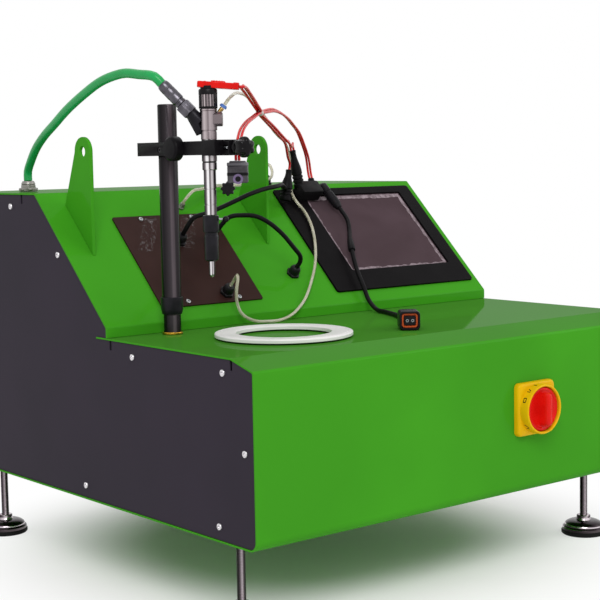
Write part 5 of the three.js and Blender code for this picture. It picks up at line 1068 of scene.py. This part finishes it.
grip_shares = (0.004, 0.02, 0.05, 0.09, 0.14, 0.2, 0.28, 0.38, 0.5, 0.62, 0.72, 0.8, 0.86, 0.91, 0.95, 0.98,
               0.996)
knob_grip = skin([lobed((1 - abs(2 * at - 1) ** 3.2) ** (1 / 3), HUB_FRONT - KNOB_LENGTH * at)
                  for at in grip_shares])
knob_hub = revolve([(4.4, 0), (7.3, 0), (7.8, 0.6), (7.8, 3.2), (7.2, 4.4), (6.6, 5.6), (4.4, 5.6), (4.4, 0)],
                   on_screw(KNOB_REAR), (0, -1, 0), 48)
knob_gloss = grained(surface("glossy black phenolic", "#0a080b", Specular_IOR_Level=0.14), 1.2, (0.08, 0.16),
                     0.01)
piece("clamp_knob_grip", [(knob_gloss, knob_grip), (knob_gloss, knob_hub)], "knob",
      "clamp_knob", sharp=30)

# Injector under test: ground and chromed steel in steps, with dark grooves where parts join, a ribbed
# black coil on top and a red plug across it. Its nozzle stands in a blackened sleeve with a ball screw.
# Both steels carry painted reflections: light and dark bands in their colour for the lamps and the room.
ground_steel_painted_reflections = ((0.0, "#3b3437"), (0.12, "#685e61"), (0.27, "#c4b8ba"), (0.42, "#a09496"), (0.5, "#7c7174"),
                (0.6, "#afa3a6"), (0.78, "#9c9093"), (0.9, "#5a5053"), (1.0, "#2e282b"))
chrome_painted_reflections = ((0.0, "#1d1a1c"), (0.14, "#454043"), (0.24, "#8b8487"), (0.32, "#f6f4f5"), (0.46, "#efecee"),
                (0.5, "#3a3437"), (0.57, "#7d7578"), (0.7, "#d9d3d6"), (0.84, "#5f575a"), (1.0, "#1b1719"))
ground_steel = paint_reflection_bands(surface("ground injector steel with painted reflections", "#8c8082", Metallic=1), ground_steel_painted_reflections)
mirror_steel = paint_reflection_bands(surface("hard-chromed steel with painted reflections", "#c6c8cb", Metallic=1), chrome_painted_reflections)
dark_joint = grained(surface("dark joint line", "#1b1a1c", Metallic=0.6), 0.8, (0.4, 0.55))
SHAFT = (INJECTOR_X, INJECTOR_Y, 0)
nozzle = revolve([(0, 272), (1.2, 272.1), (2.4, 273), (3.2, 274.6), (3.5, 276), (3.5, 291.6), (4.4, 293.2),
                  (6.5, 294.4), (6.5, 342), (0, 342)], SHAFT)
sleeve = revolve([(3.8, 290), (5.1, 290), (5.6, 290.4), (7.8, 291.8), (8, 292.4), (8, 318.4), (7.6, 319),
                  (7.3, 319.4), (7.3, 322.6), (7.8, 323), (8.8, 323.2), (9.05, 323.7), (9.05, 341.4),
                  (8.7, 342), (6.8, 342), (6.8, 293.7), (3.8, 291.7), (3.8, 290)], SHAFT)
piece("injector_nozzle_turned", [(mirror_steel, nozzle)], "arm", "injector_nozzle", sharp=28)
piece("nozzle_sleeve_turned", [(black_steel, sleeve)], "arm", "nozzle_sleeve", sharp=28)
stem = revolve([(0, 342.3), (6.6, 342.3), (7, 342.8), (7, 353.8), (6.5, 354), (6.5, 355), (7, 355.2),
                (7, 371.2), (6.5, 371.4), (6.5, 372.4), (7, 372.6), (7, 393), (7.6, 393.3), (8.1, 393.6),
                (8.3, 394), (8.3, 401.3), (0, 401.3)], SHAFT)
seal_ring = revolve([(0, 401), (7.9, 401.2), (7.9, 403.1), (0, 403.1)], SHAFT)
chrome_body = revolve([(0, 403), (8.4, 403), (8.6, 403.3), (8.6, 427.4), (0, 427.4)], SHAFT)
shoulder = revolve([(0, 427.5), (8.8, 427.5), (9, 427.8), (9, 436.3), (8.5, 436.5), (8.5, 437.5),
                    (9.3, 437.6), (9.6, 438), (9.6, 459.1), (9.4, 459.4), (0, 459.4)], SHAFT)
head_nut = revolve([(0, 459.5), (9.4, 459.5), (9.9, 459.8), (9.9, 461.5), (9.6, 461.8), (0, 461.8)], SHAFT,
                   sides=48)
PORT = plane_at(on_injector(PORT_HEIGHT), -ACROSS_PORT, Z, TO_RIGHT)


def port_outline(inset):
    half, flat = PORT_HALF - inset, 5 - inset * 0.4
    corners = [(half, -flat), (half, flat), (flat, half), (-flat, half), (-half, flat), (-half, -flat),
               (-flat, -half), (flat, -half)]
    return [c for a, b in zip(corners, corners[1:] + corners[:1])
            for c in (a, ((a[0] + b[0]) / 2, (a[1] + b[1]) / 2))]


port_block = pillow(port_outline, [(0, 4), (0, 15), (0.7, 15.7), (1.4, 16)], PORT)
piece("injector_body_turned", [
    (mirror_steel, stem), (dark_joint, seal_ring), (mirror_steel, chrome_body), (ground_steel, shoulder),
    (ground_steel, head_nut), (ground_steel, port_block)], "arm", "injector_body", sharp=26)
coil_can = revolve([(0, 463), (9.9, 463), (9.9, 479), (0, 479)], SHAFT, sides=64)
coil_foot = revolve([(0, 462.1), (10.2, 462.1), (10.6, 462.5), (10.6, 464), (10.2, 464.4), (0, 464.4)], SHAFT,
                    sides=64)
coil_top = revolve([(0, 477.6), (10.2, 477.6), (10.6, 478), (10.6, 482.6), (10.1, 483.6), (9.4, 484),
                    (0, 484)], SHAFT, sides=64)
# Thin bars run up the coil's sides, and thicker ones its front and back.
coil_bars = []
for k in range(18):
    angle = 2 * math.pi * (k + 0.5) / 18
    out = TO_RIGHT * math.sin(angle) - ACROSS_PORT * math.cos(angle)
    thickness, reach = (0.68, 9.9) if abs(math.sin(angle)) < 0.62 else (1.9, 8.6)
    coil_bars.append(skin(rings_along([on_injector(low) + out * reach for low in (463.4, 478.4)], thickness,
                                      8)))
coil_black = [(black_abs, shape) for shape in (coil_foot, coil_top, *coil_bars)]
piece("injector_coil_moulding", [(ground_steel, coil_can), *coil_black], "arm",
      "injector_coil_cap", sharp=30)
# The plug's heights are counted up the injector from the foot of its shell.
PLUG_FRAME = plane_at(on_injector(PLUG_LOW), ALONG_PLUG, ACROSS_PORT,
                      PLUG_UP) @ Matrix.Translation(-Z * PLUG_FOOT)


def plug_box(left, right_side, half, corner, levels):
    return pillow(drawn_in(left, right_side, -half, half, corner), levels, PLUG_FRAME)


plug_shapes = [
    plug_box(-12, 35, 7.5, 3, [(0.5, 484.3), (0, 484.8), (0, 490.2), (0.5, 491), (1.1, 491.3)]),
    plug_box(3, 19.5, 4, 1.2, [(0, 490.8), (0, 491.9), (0.5, 492.6), (1.1, 492.8)]),
    plug_box(-4.5, -2.5, 7.5, 0.9, [(0.1, 484.4), (0.1, 491.6)]),
    plug_box(28.5, 35, 6.2, 2, [(0, 484.3), (0, 491.6), (0.6, 492.1)]),
    *(plug_box(6 + 3 * k, 7.4 + 3 * k, 3.2, 0.5, [(0, 492.5), (0.3, 493.1)]) for k in range(4))]
plug_neck = rod(on_injector(484.05), on_injector(487.5), 8.6, sides=40)
piece("injector_plug_housing", [(black_abs, plug_neck), *((red_abs, shape) for shape in plug_shapes)], "arm",
      "injector_plug", sharp=30)
BALL_RADIUS, SLEEVE_SCREW_HEIGHT = 3.7, 337.5
BALL = on_injector(SLEEVE_SCREW_HEIGHT) + TO_RIGHT * (9.35 + 4.5 + BALL_RADIUS * 0.8)
ball_arc = [(BALL_RADIUS * math.sin(a), -BALL_RADIUS * math.cos(a))
            for a in (math.pi * k / 18 for k in range(1, 18))]
ball_profile = [(0, -BALL_RADIUS), *ball_arc, (0, BALL_RADIUS)]
ball = revolve(ball_profile, BALL, TO_RIGHT, 40)
ball_screw = revolve([(0, 9.35), *thread(1.6, 0.25, 9.4, 13.6, 0.7), (0, 14)],
                     on_injector(SLEEVE_SCREW_HEIGHT), TO_RIGHT, 24)
piece("sleeve_screw_ball", [(black_abs, ball), (zinc, ball_screw)], "thumb_screw",
      "sleeve_screw", sharp=35)

# High-pressure inlet: a black stub, a gunmetal hexagon nut and a crimped ferrule in line with the hose,
# which show a dull shine with fine rings.
piece("high_pressure_inlet_stub", [(black_steel, copy_of("high_pressure_inlet"))], "arm",
      "high_pressure_inlet", bevel=0.25, sharp=40)
gunmetal = grained(surface("gunmetal plated steel", "#55535a", Metallic=0.9), 1, (0.18, 0.32), 0.01,
                   (1, 1, 6), colours=("#4c4a50", "#625f66"), patch=8)
piece("hose_nut_hexagon", [(gunmetal, hexagon(9.35, 0, 14, nut_start, HOSE_OUT))], "arm",
      "hose_nut", bevel=0.15, sharp=28)
ferrule_profile = [(0, 0), (6, 0), (6.6, 0.5), (6.6, 3), (6.1, 3.5), (6.1, 4.6), (6.7, 5), (7.2, 6),
                   (7.2, 12), (7, 12.5), (7, 13.3), (7.2, 13.8), (7.2, 21), (7, 21.5), (7, 22.3), (7.2, 22.8),
                   (7.1, 28), (6.7, 30.4), (6.2, 31.6), (5.7, 32), (0, 32)]
piece("hose_ferrule_crimped", [(gunmetal, revolve(ferrule_profile, ferrule_start, HOSE_OUT, 48))], "arm",
      "hose_ferrule", sharp=26)

# Return union: a brass stub with the blue release ring of its push-in fitting.
blue_ring = grained(surface("blue acetal ring", "#4a6fb5", Specular_IOR_Level=0.45), 1, (0.3, 0.42), 0.02)
piece("return_union_stub", [(brass, copy_of("return_union"))], "arm", "return_union", bevel=0.15,
      sharp=40)
release_ring = revolve([(2.2, 0), (4.1, 0), (4.3, 0.3), (4.3, 2.4), (3.6, 2.8), (3.6, 3.6), (2.2, 3.6),
                        (2.2, 0)], push_ring_start, RETURN_OUT, 40)
piece("return_release_ring", [(blue_ring, release_ring)], "arm", "return_push_ring", sharp=30)

# Seat ring: a white acetal ring with broken edges and a turned step, which lies on a thin black gasket on
# the worktop.
white_acetal = grained(surface("white turned acetal", "#e8e6e6", Specular_IOR_Level=0.45), 1.2, (0.3, 0.45),
                       0.02, (1, 1, 1), colours=("#eae8e8", "#e3e1e2"), patch=40)
SEAT = (152, 140, 0)
seat_gasket = revolve([(59, 200.3), (76, 200.3), (76, 201.6), (59, 201.6), (59, 200.3)], SEAT, sides=128)
piece("seat_gasket_cut", [(pad_rubber, seat_gasket)], "cabinet", "seat_gasket", sharp=30)
seat_ring = revolve([(55.4, 201.9), (79.6, 201.9), (80, 202.3), (80, 205.2), (79.4, 206.1), (78.6, 206.4),
                     (75.2, 206.4), (74.8, 206), (74.2, 206), (73.8, 206.4), (56, 206.4), (55.3, 206.1),
                     (55, 205.5), (55, 202.3), (55.4, 201.9)], SEAT, sides=160)
piece("seat_ring_turned", [(white_acetal, seat_ring)], "cabinet", "seat_ring", sharp=24)

# Control plate: brown satin laminate on a thin metal plate with rounded corners, held by four small
# bright screws. It carries two cable glands and the return gland.
laminate = grained(surface("brown satin laminate", "#34201d", Specular_IOR_Level=0.06), 1.2, (0.32, 0.46),
                   0.01, colours=("#36221f", "#301d1a"), patch=50)
PLATE_BOX, PLATE_CORNER, PLATE_THICK = (88, 241, 20, 173), 2.5, 2
plate_box = rounded_box(*PLATE_BOX, PLATE_CORNER)
plate_shapes = [(laminate, slab(plate_box, [], PLATE_THICK, SLOPE, CLEAR))]
for gland_place in PLATE_GLANDS.values():
    plate_shapes += gland_shapes(on_slope(*gland_place, PLATE_LIFT), SLOPE_OUT)
plate_screws = [on_slope(across, high, PLATE_LIFT) for across in (128, 206) for high in (26, 167)]
piece("control_plate_laminate", plate_shapes, "cabinet", "control_plate", bevel=0.2, sharp=40)
screw_set("control_plate_screws", zinc, screw_head(3.2, 1.8), plate_screws, SLOPE_OUT,
          "control_plate")

# Two strips of clear protective film have lifted from the plate in crinkles: nearly unseen, with fine
# bright creases.
film_material, film_tree, film_shader, film_place = surface("clear protective film", "#e9e9ee",
    Specular_IOR_Level=0.6)
film_creases = add(film_tree, "ShaderNodeTexNoise", {"Vector": film_place, "Scale": 90, "Detail": 7,
                                                     "Roughness": 0.75, "Distortion": 2.5})
film_lines = add(film_tree, "ShaderNodeMapRange", {"Value": film_creases.outputs[0], "From Min": 0.52,
                                                   "From Max": 0.72, "To Min": 0.0, "To Max": 0.3})
film_tree.links.new(film_lines.outputs[0], film_shader["Alpha"])
film_bump = add(film_tree, "ShaderNodeBump", {"Height": film_creases.outputs[0], "Strength": 0.9,
                                              "Distance": 0.002})
film_tree.links.new(film_bump.outputs[0], film_shader["Normal"])
film_shader["Roughness"].default_value = 0.12
FILM_STEPS, FILM_LOW, FILM_HIGH = 48, 112, 170


def film(name, left, right_side, lean, height, seed):
    """A strip of crinkled film that leans across the slope."""
    bm = bmesh.new()
    rows = []
    for j in range(FILM_STEPS + 1):
        row = []
        for i in range(FILM_STEPS + 1):
            u, v = i / FILM_STEPS, j / FILM_STEPS
            x, y = left + (right_side - left) * u + lean * v, FILM_LOW + (FILM_HIGH - FILM_LOW) * v
            crinkle = noise.noise(Vector((x * 0.06 + seed, y * 0.11, seed)))
            crinkle += 0.6 * abs(noise.noise(Vector((x * 0.19, y * 0.08 + seed, seed * 2))))
            edge = min(1, 6 * min(u, 1 - u, v, 1 - v) + 0.1)
            lift = max(0.05, (0.45 + crinkle) * height * edge)
            row.append(bm.verts.new(on_slope(x, y, PLATE_LIFT + 0.15 + lift)))
        rows.append(row)
    for a, b in zip(rows, rows[1:]):
        for i in range(FILM_STEPS):
            bm.faces.new((a[i], a[i + 1], b[i + 1], b[i]))
    piece(name, [(film_material, bm)], "cabinet", sharp=80)


film("plate_film_left", 97, 119, 38, 2.4, 3.1)
film("plate_film_right", 158, 182, 34, 2.2, 8.4)

# Touch screen: a black moulded frame round a dark glass panel with a faint haze of wiping, under a sheet
# of protective film whose crinkled edge shows as a lighter border.
panel_material, panel_tree, panel_shader, panel_place = surface("dark touch-panel glass", "#53434a",
    Specular_IOR_Level=0.0)
haze = add(panel_tree, "ShaderNodeTexNoise", {"Vector": panel_place, "Scale": 9, "Detail": 3,
                                              "Distortion": 0.6})
haze_range = add(panel_tree, "ShaderNodeMapRange", {"Value": haze.outputs[0], "From Min": 0.35,
                                                    "From Max": 0.7})
haze_colour = add(panel_tree, "ShaderNodeMix", {0: haze_range.outputs[0], 6: tint("#4b3d42"),
                                                7: tint("#54454b")}, data_type="RGBA")
panel_tree.links.new(haze_colour.outputs[2], panel_shader["Base Color"])
smear = add(panel_tree, "ShaderNodeTexNoise", {"Vector": panel_place, "Scale": 35, "Detail": 4})
smear_range = add(panel_tree, "ShaderNodeMapRange", {"Value": smear.outputs[0], "To Min": 0.3,
                                                     "To Max": 0.42})
panel_tree.links.new(smear_range.outputs[0], panel_shader["Roughness"])
BEZEL_BOX, WINDOW_BOX, GLASS_BOX = (365, 619, 19, 210), (413, 595, 54, 197), (409, 599, 50, 201)
FILM_OUTER, FILM_INNER = (414.5, 593.5, 55.5, 195.5), (417.5, 588.5, 58, 189)
bezel_outer = rounded_box(*BEZEL_BOX, 4)
bezel_hole = rounded_box(*WINDOW_BOX, 2, 4)
bezel_black = grained(surface("satin black screen frame", "#0a080a", Specular_IOR_Level=0.04), 1.1,
                      (0.34, 0.48), 0.01, colours=("#090709", "#0d0b0d"), patch=30)
piece("screen_frame", [(bezel_black, slab(bezel_outer, [bezel_hole], 3, SLOPE, CLEAR))], "cabinet",
      "screen_bezel", bevel=0.8, sharp=40, segments=3)
glass = pillow(drawn_in(*GLASS_BOX, 2, 2, 4), [(0, -1.7), (0, 0.2), (0.6, 0.6)], SLOPE)
film_edge = grained(surface("crinkled edge of the screen film", "#8d7b82", Specular_IOR_Level=0.3), 3,
                    (0.2, 0.4), 0.2, colours=("#5f4f55", "#92828a"), patch=7)


def wavy(left, right_side, low, high, wave):
    """A box's outline in short steps that wander in and out, as torn film does."""
    corners = [(left, low), (right_side, low), (right_side, high), (left, high)]
    line = []
    for (x0, y0), (x1, y1) in zip(corners, corners[1:] + corners[:1]):
        steps = round(math.dist((x0, y0), (x1, y1)) / 2.5)
        for k in range(steps):
            x, y = x0 + (x1 - x0) * k / steps, y0 + (y1 - y0) * k / steps
            line.append((x + wave * noise.noise(Vector((x * 0.11, y * 0.11, 4))),
                         y + wave * noise.noise(Vector((x * 0.11, y * 0.11, 9)))))
    return line


film_border = slab(wavy(*FILM_OUTER, 1), [wavy(*FILM_INNER, 3)], 0.2, SLOPE, 0.62)
piece("touch_panel", [(panel_material, glass), (film_edge, film_border)], "cabinet", "screen_glass",
      sharp=30)

# Boots and connectors: soft black rubber boots taper from their block to the wires, with rings moulded
# round the middle. The plugs are glass-filled nylon with ribs, latches and coloured seals.
nylon_black = grained(surface("black glass-filled nylon", "#0f0e11", Specular_IOR_Level=0.12), 0.8,
                      (0.3, 0.45), 0.03, colours=("#121114", "#19171b"), patch=12)
nylon_grey = grained(surface("grey glass-filled nylon", "#69686e", Specular_IOR_Level=0.4), 0.8, (0.38, 0.52),
                     0.04, colours=("#65646a", "#727077"), patch=12)
seal_violet = grained(surface("violet silicone seal", "#7d6b93", Specular_IOR_Level=0.35), 1, (0.45, 0.6))
seal_orange = grained(surface("orange silicone seal", "#c8501e", Specular_IOR_Level=0.35), 1, (0.45, 0.6))


def boot(foot, top, foot_radius, top_radius, rings=3):
    """A tapered boot: a thick foot, moulded rings, a waist and a lip at the wire's end."""
    length = (top - foot).length
    profile = [(0, 0), (foot_radius * 0.96, 0), (foot_radius, 0.8)]
    for k in range(rings):
        low = length * (0.12 + 0.1 * k)
        profile += [(foot_radius, low), (foot_radius * 0.86, low + 1), (foot_radius * 0.86, low + 2),
                    (foot_radius, low + 3)]
    profile += [(foot_radius, length * 0.46), (foot_radius * 0.93, length * 0.56),
                (top_radius * 1.02, length * 0.78), (top_radius * 0.9, length * 0.9),
                (top_radius, length - 1.6), (top_radius, length - 0.5), (top_radius - 0.6, length),
                (0, length)]
    return revolve(profile, foot, (top - foot).normalized(), 40)


BLOCK = Matrix.Translation(on_block(0, 0, 0)) @ SLOPE.to_3x3().to_4x4()
block_levels = [(0.6, 0), (0, 0.6), (0, 16.9), (0.4, 17.7), (1.2, 18)]
block_body = pillow(drawn_in(-18, 18, -11, 11, 3, 0.5), block_levels, BLOCK)
latch_rings = []
for size, out in ((4.2, -0.5), (4.2, -0.05), (3.2, -0.01)):
    latch_rings.append([BLOCK @ Vector((-4 + size * 1.5 * math.cos(a), -11 - out, 9 + size * math.sin(a)))
                        for a in (2 * math.pi * k / 32 for k in range(32))])
oval_latch = skin(latch_rings)
boots = [boot(*main_boot, 7.4, 4.4), boot(*rear_boot, 5.6, 4.4, 0)]
piece("boot_block_moulding", [(cable_rubber, block_body), (nylon_black, oval_latch),
                              *((cable_rubber, shape) for shape in boots)],
      "cabinet", "boot_block", sharp=30)
piece("side_boot_moulding", [(cable_rubber, boot(*side_boot, 8, 4.4))], "cabinet",
      "control_cable", sharp=30)
inline_axis = (INLINE_END - INLINE_START).normalized()
inline_length = (INLINE_END - INLINE_START).length
joint_profile = [(0, 0), (4.2, 0), (4.9, 0.8), (6.1, 2.4), (6.5, 3.2), (6.5, 15), (5.6, 15.8), (5.6, 18),
                 (6.5, 18.8), (6.5, inline_length - 6), (5.4, inline_length - 4.5),
                 (4.6, inline_length - 0.8), (4, inline_length), (0, inline_length)]
inline_joint = revolve(joint_profile, INLINE_START, inline_axis, 40)
joint_ribs = ribs_round(INLINE_START, inline_axis, 10, 19.6, 34, 6.2, 6.2, 0.55)
lead_axis = (LEAD_BOOT_END - LEAD_BOOT_START).normalized()
lead_boot_length = (LEAD_BOOT_END - LEAD_BOOT_START).length
lead_boot = revolve([(0, 0), (3.5, 0), (3.8, 1), (4.4, 8), (4.9, 14), (5, lead_boot_length - 2),
                     (4.7, lead_boot_length - 0.6), (4, lead_boot_length), (0, lead_boot_length)],
                    LEAD_BOOT_START, lead_axis, 36)
piece("lead_joint_and_boot", [(nylon_black, inline_joint), *((nylon_black, r) for r in joint_ribs),
                              (cable_rubber, lead_boot)], "cabinet", "adapter_lead", sharp=30)
WORKTOP_PLUG = plane_at(PLUG_CENTRE, Z.cross(PLUG_FACING), Z, PLUG_FACING)


def oval_plug(half_width, half_height, corner, levels, place):
    return pillow(drawn_in(-half_width, half_width, -half_height, half_height, corner, 0.6, 6), levels, place)


plug_body = oval_plug(12.5, 11.5, 5, [(2.2, -17), (1.2, -16), (1, -9), (0, -7), (0, 12), (0.4, 16.4), (1, 17),
                                      (2.6, 17), (2.8, 16.4), (2.9, 9)], WORKTOP_PLUG)
plug_well = oval_plug(9.4, 8.4, 3.5, [(0, 9.2), (0, 9.6)], WORKTOP_PLUG)
plug_seal = oval_plug(9.5, 8.5, 3.5, [(0, 12.2), (0, 14.2), (0.5, 14.8), (1.8, 14.8), (2.2, 14.3),
                                      (2.3, 9.7)], WORKTOP_PLUG)
plug_core = oval_plug(7, 5.4, 2, [(0, 9.5), (0, 15.2), (0.5, 15.8)], WORKTOP_PLUG)
plug_pins = [revolve([(0, 15.6), (1.7, 15.6), (1.7, 16), (1.1, 16), (1.1, 15.7), (0, 15.7)],
                     WORKTOP_PLUG @ Vector((x, 0, 0)), PLUG_FACING, 20) for x in (-3.2, 3.2)]
plug_ribs = [pillow(drawn_in(-7 + 3.5 * k, -6 + 3.5 * k, 11.2, 11.5, 0.12, 0.12, 2), [(0, -6), (0, 12)],
                    WORKTOP_PLUG) for k in range(5)]
black_shapes = [(nylon_black, shape) for shape in (plug_body, plug_well, plug_core, *plug_ribs)]
worktop_plug = piece("worktop_plug_housing", [*black_shapes, (seal_orange, plug_seal),
                                              *((zinc, pin) for pin in plug_pins)], "cabinet",
                     "worktop_plug", sharp=30)
HANGING_HEIGHT = 25
HANGING = plane_at(HANGING_TOP - Z * HANGING_HEIGHT, TO_RIGHT, ACROSS_PORT, Z)
dark_nylon = grained(surface("dark grey glass-filled nylon", "#454248", Specular_IOR_Level=0.4), 0.8,
                     (0.3, 0.45), 0.04, colours=("#3e3b41", "#4e4a51"), patch=8)
hanging_shell = oval_plug(11.6, 7, 2.4, [(1.2, 0), (0.2, 1.2), (0, 2), (0, 18.6), (0.5, 19.4)], HANGING)
hanging_lip = oval_plug(12, 7.5, 3, [(0.3, 8.4), (0, 8.8), (0, 11.4), (0.3, 11.8)], HANGING)
hanging_clip = oval_plug(12, 5.6, 2, [(0.6, 19), (0, 19.6), (0, 22.4), (0.8, 23.2)], HANGING)
hanging_crown = oval_plug(9.4, 5, 2, [(0, 22), (0, 24.2), (0.8, 25)], HANGING)
hanging_ribs = [pillow(drawn_in(-8.6 + 4 * k, -7.2 + 4 * k, -7.45, -6.6, 0.2, 0.2, 2), [(0, 12.4), (0, 18.4)],
                       HANGING) for k in range(5)]
ring_foot = HANGING @ Vector((0.5, -7, 4.6))
violet_ring = revolve([(3.2, 0), (5.4, 0), (5.7, 0.25), (5.7, 0.6), (3.2, 0.6), (3.2, 0)], ring_foot,
                      -ACROSS_PORT, 40)
ring_core = revolve([(0, 0), (3.1, 0), (3.1, 0.5), (2.6, 0.7), (0, 0.7)], ring_foot, -ACROSS_PORT, 32)


def lobed_cap(size, out):
    """One section of the cap's eight-lobed rim."""
    points = []
    for k in range(96):
        angle = 2 * math.pi * k / 96
        radius = size * (7.5 + 0.9 * math.cos(8 * angle))
        points.append(HANGING @ Vector((-11.5 + radius * math.cos(angle), -out,
                                        -6 + radius * math.sin(angle))))
    return points


cap_sections = ((0.8, -5), (0.96, -4.6), (1, -4), (1, 3.6), (0.95, 4.5), (0.86, 4.9), (0.6, 5), (0.56, 4.2),
                (0.2, 4.1))
hanging_cap = skin([lobed_cap(size, out) for size, out in cap_sections])
piece("hanging_connector_housing", [(dark_nylon, hanging_shell), (nylon_black, hanging_lip),
                                    (nylon_grey, hanging_clip), (dark_nylon, hanging_crown),
                                    *((dark_nylon, rib) for rib in hanging_ribs), (seal_violet, violet_ring),
                                    (nylon_black, ring_core), (nylon_black, hanging_cap)], "arm",
      "hanging_connector", sharp=30)
# A wound tie of clear tape gathers the five wires: greyish white, slightly shiny, soft at both ends.
tie_tape = grained(surface("clear wound tape", "#cfc8c4", Specular_IOR_Level=0.5), 1, (0.2, 0.4), 0.05,
                   colours=("#b9aeac", "#ded9d6"), patch=4)
sleeve_low = SLEEVE_PLACE - SLEEVE_ALONG * SLEEVE_LENGTH / 2
tie = revolve([(0, 0), (3.7, 0), (4.3, 0.8), (4.4, 2), (4.2, 4.5), (4.4, 7), (4.3, 8.2), (3.7, 9), (0, 9)],
              sleeve_low, SLEEVE_ALONG, 36)
wire_gather = piece("wire_gathering_sleeve", [(tie_tape, tie)], None, "signal_wires", sharp=40)
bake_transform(wire_gather)

# Back and inside: a cast grey drive, a bright rail and coupling, a white tank, and a black fan, inlet, box
# and caps. They keep their solids' shapes and take the finishes that such parts have.
cast_grey = grained(surface("grey painted casting", "#7c8085", Specular_IOR_Level=0.35), 2.5, (0.5, 0.7),
                    0.15, colours=("#7c8085", "#85898e"), patch=40)
tank_white = grained(surface("natural polyethylene", "#dcdad2", Specular_IOR_Level=0.35), 3, (0.4, 0.55),
                     0.05, colours=("#dcdad2", "#d2d0c6"), patch=80)
for node, material in {"drive_motor": cast_grey, "high_pressure_pump": cast_grey, "common_rail": bright_steel,
                       "shaft_coupling": bright_steel, "oil_tank": tank_white, "tank_cap": black_abs,
                       "control_box": black_abs, "switch_body": black_abs, "fan_frame": black_abs,
                       "fan_rotor": black_abs, "power_inlet": black_abs}.items():
    finish_solid(node, material)
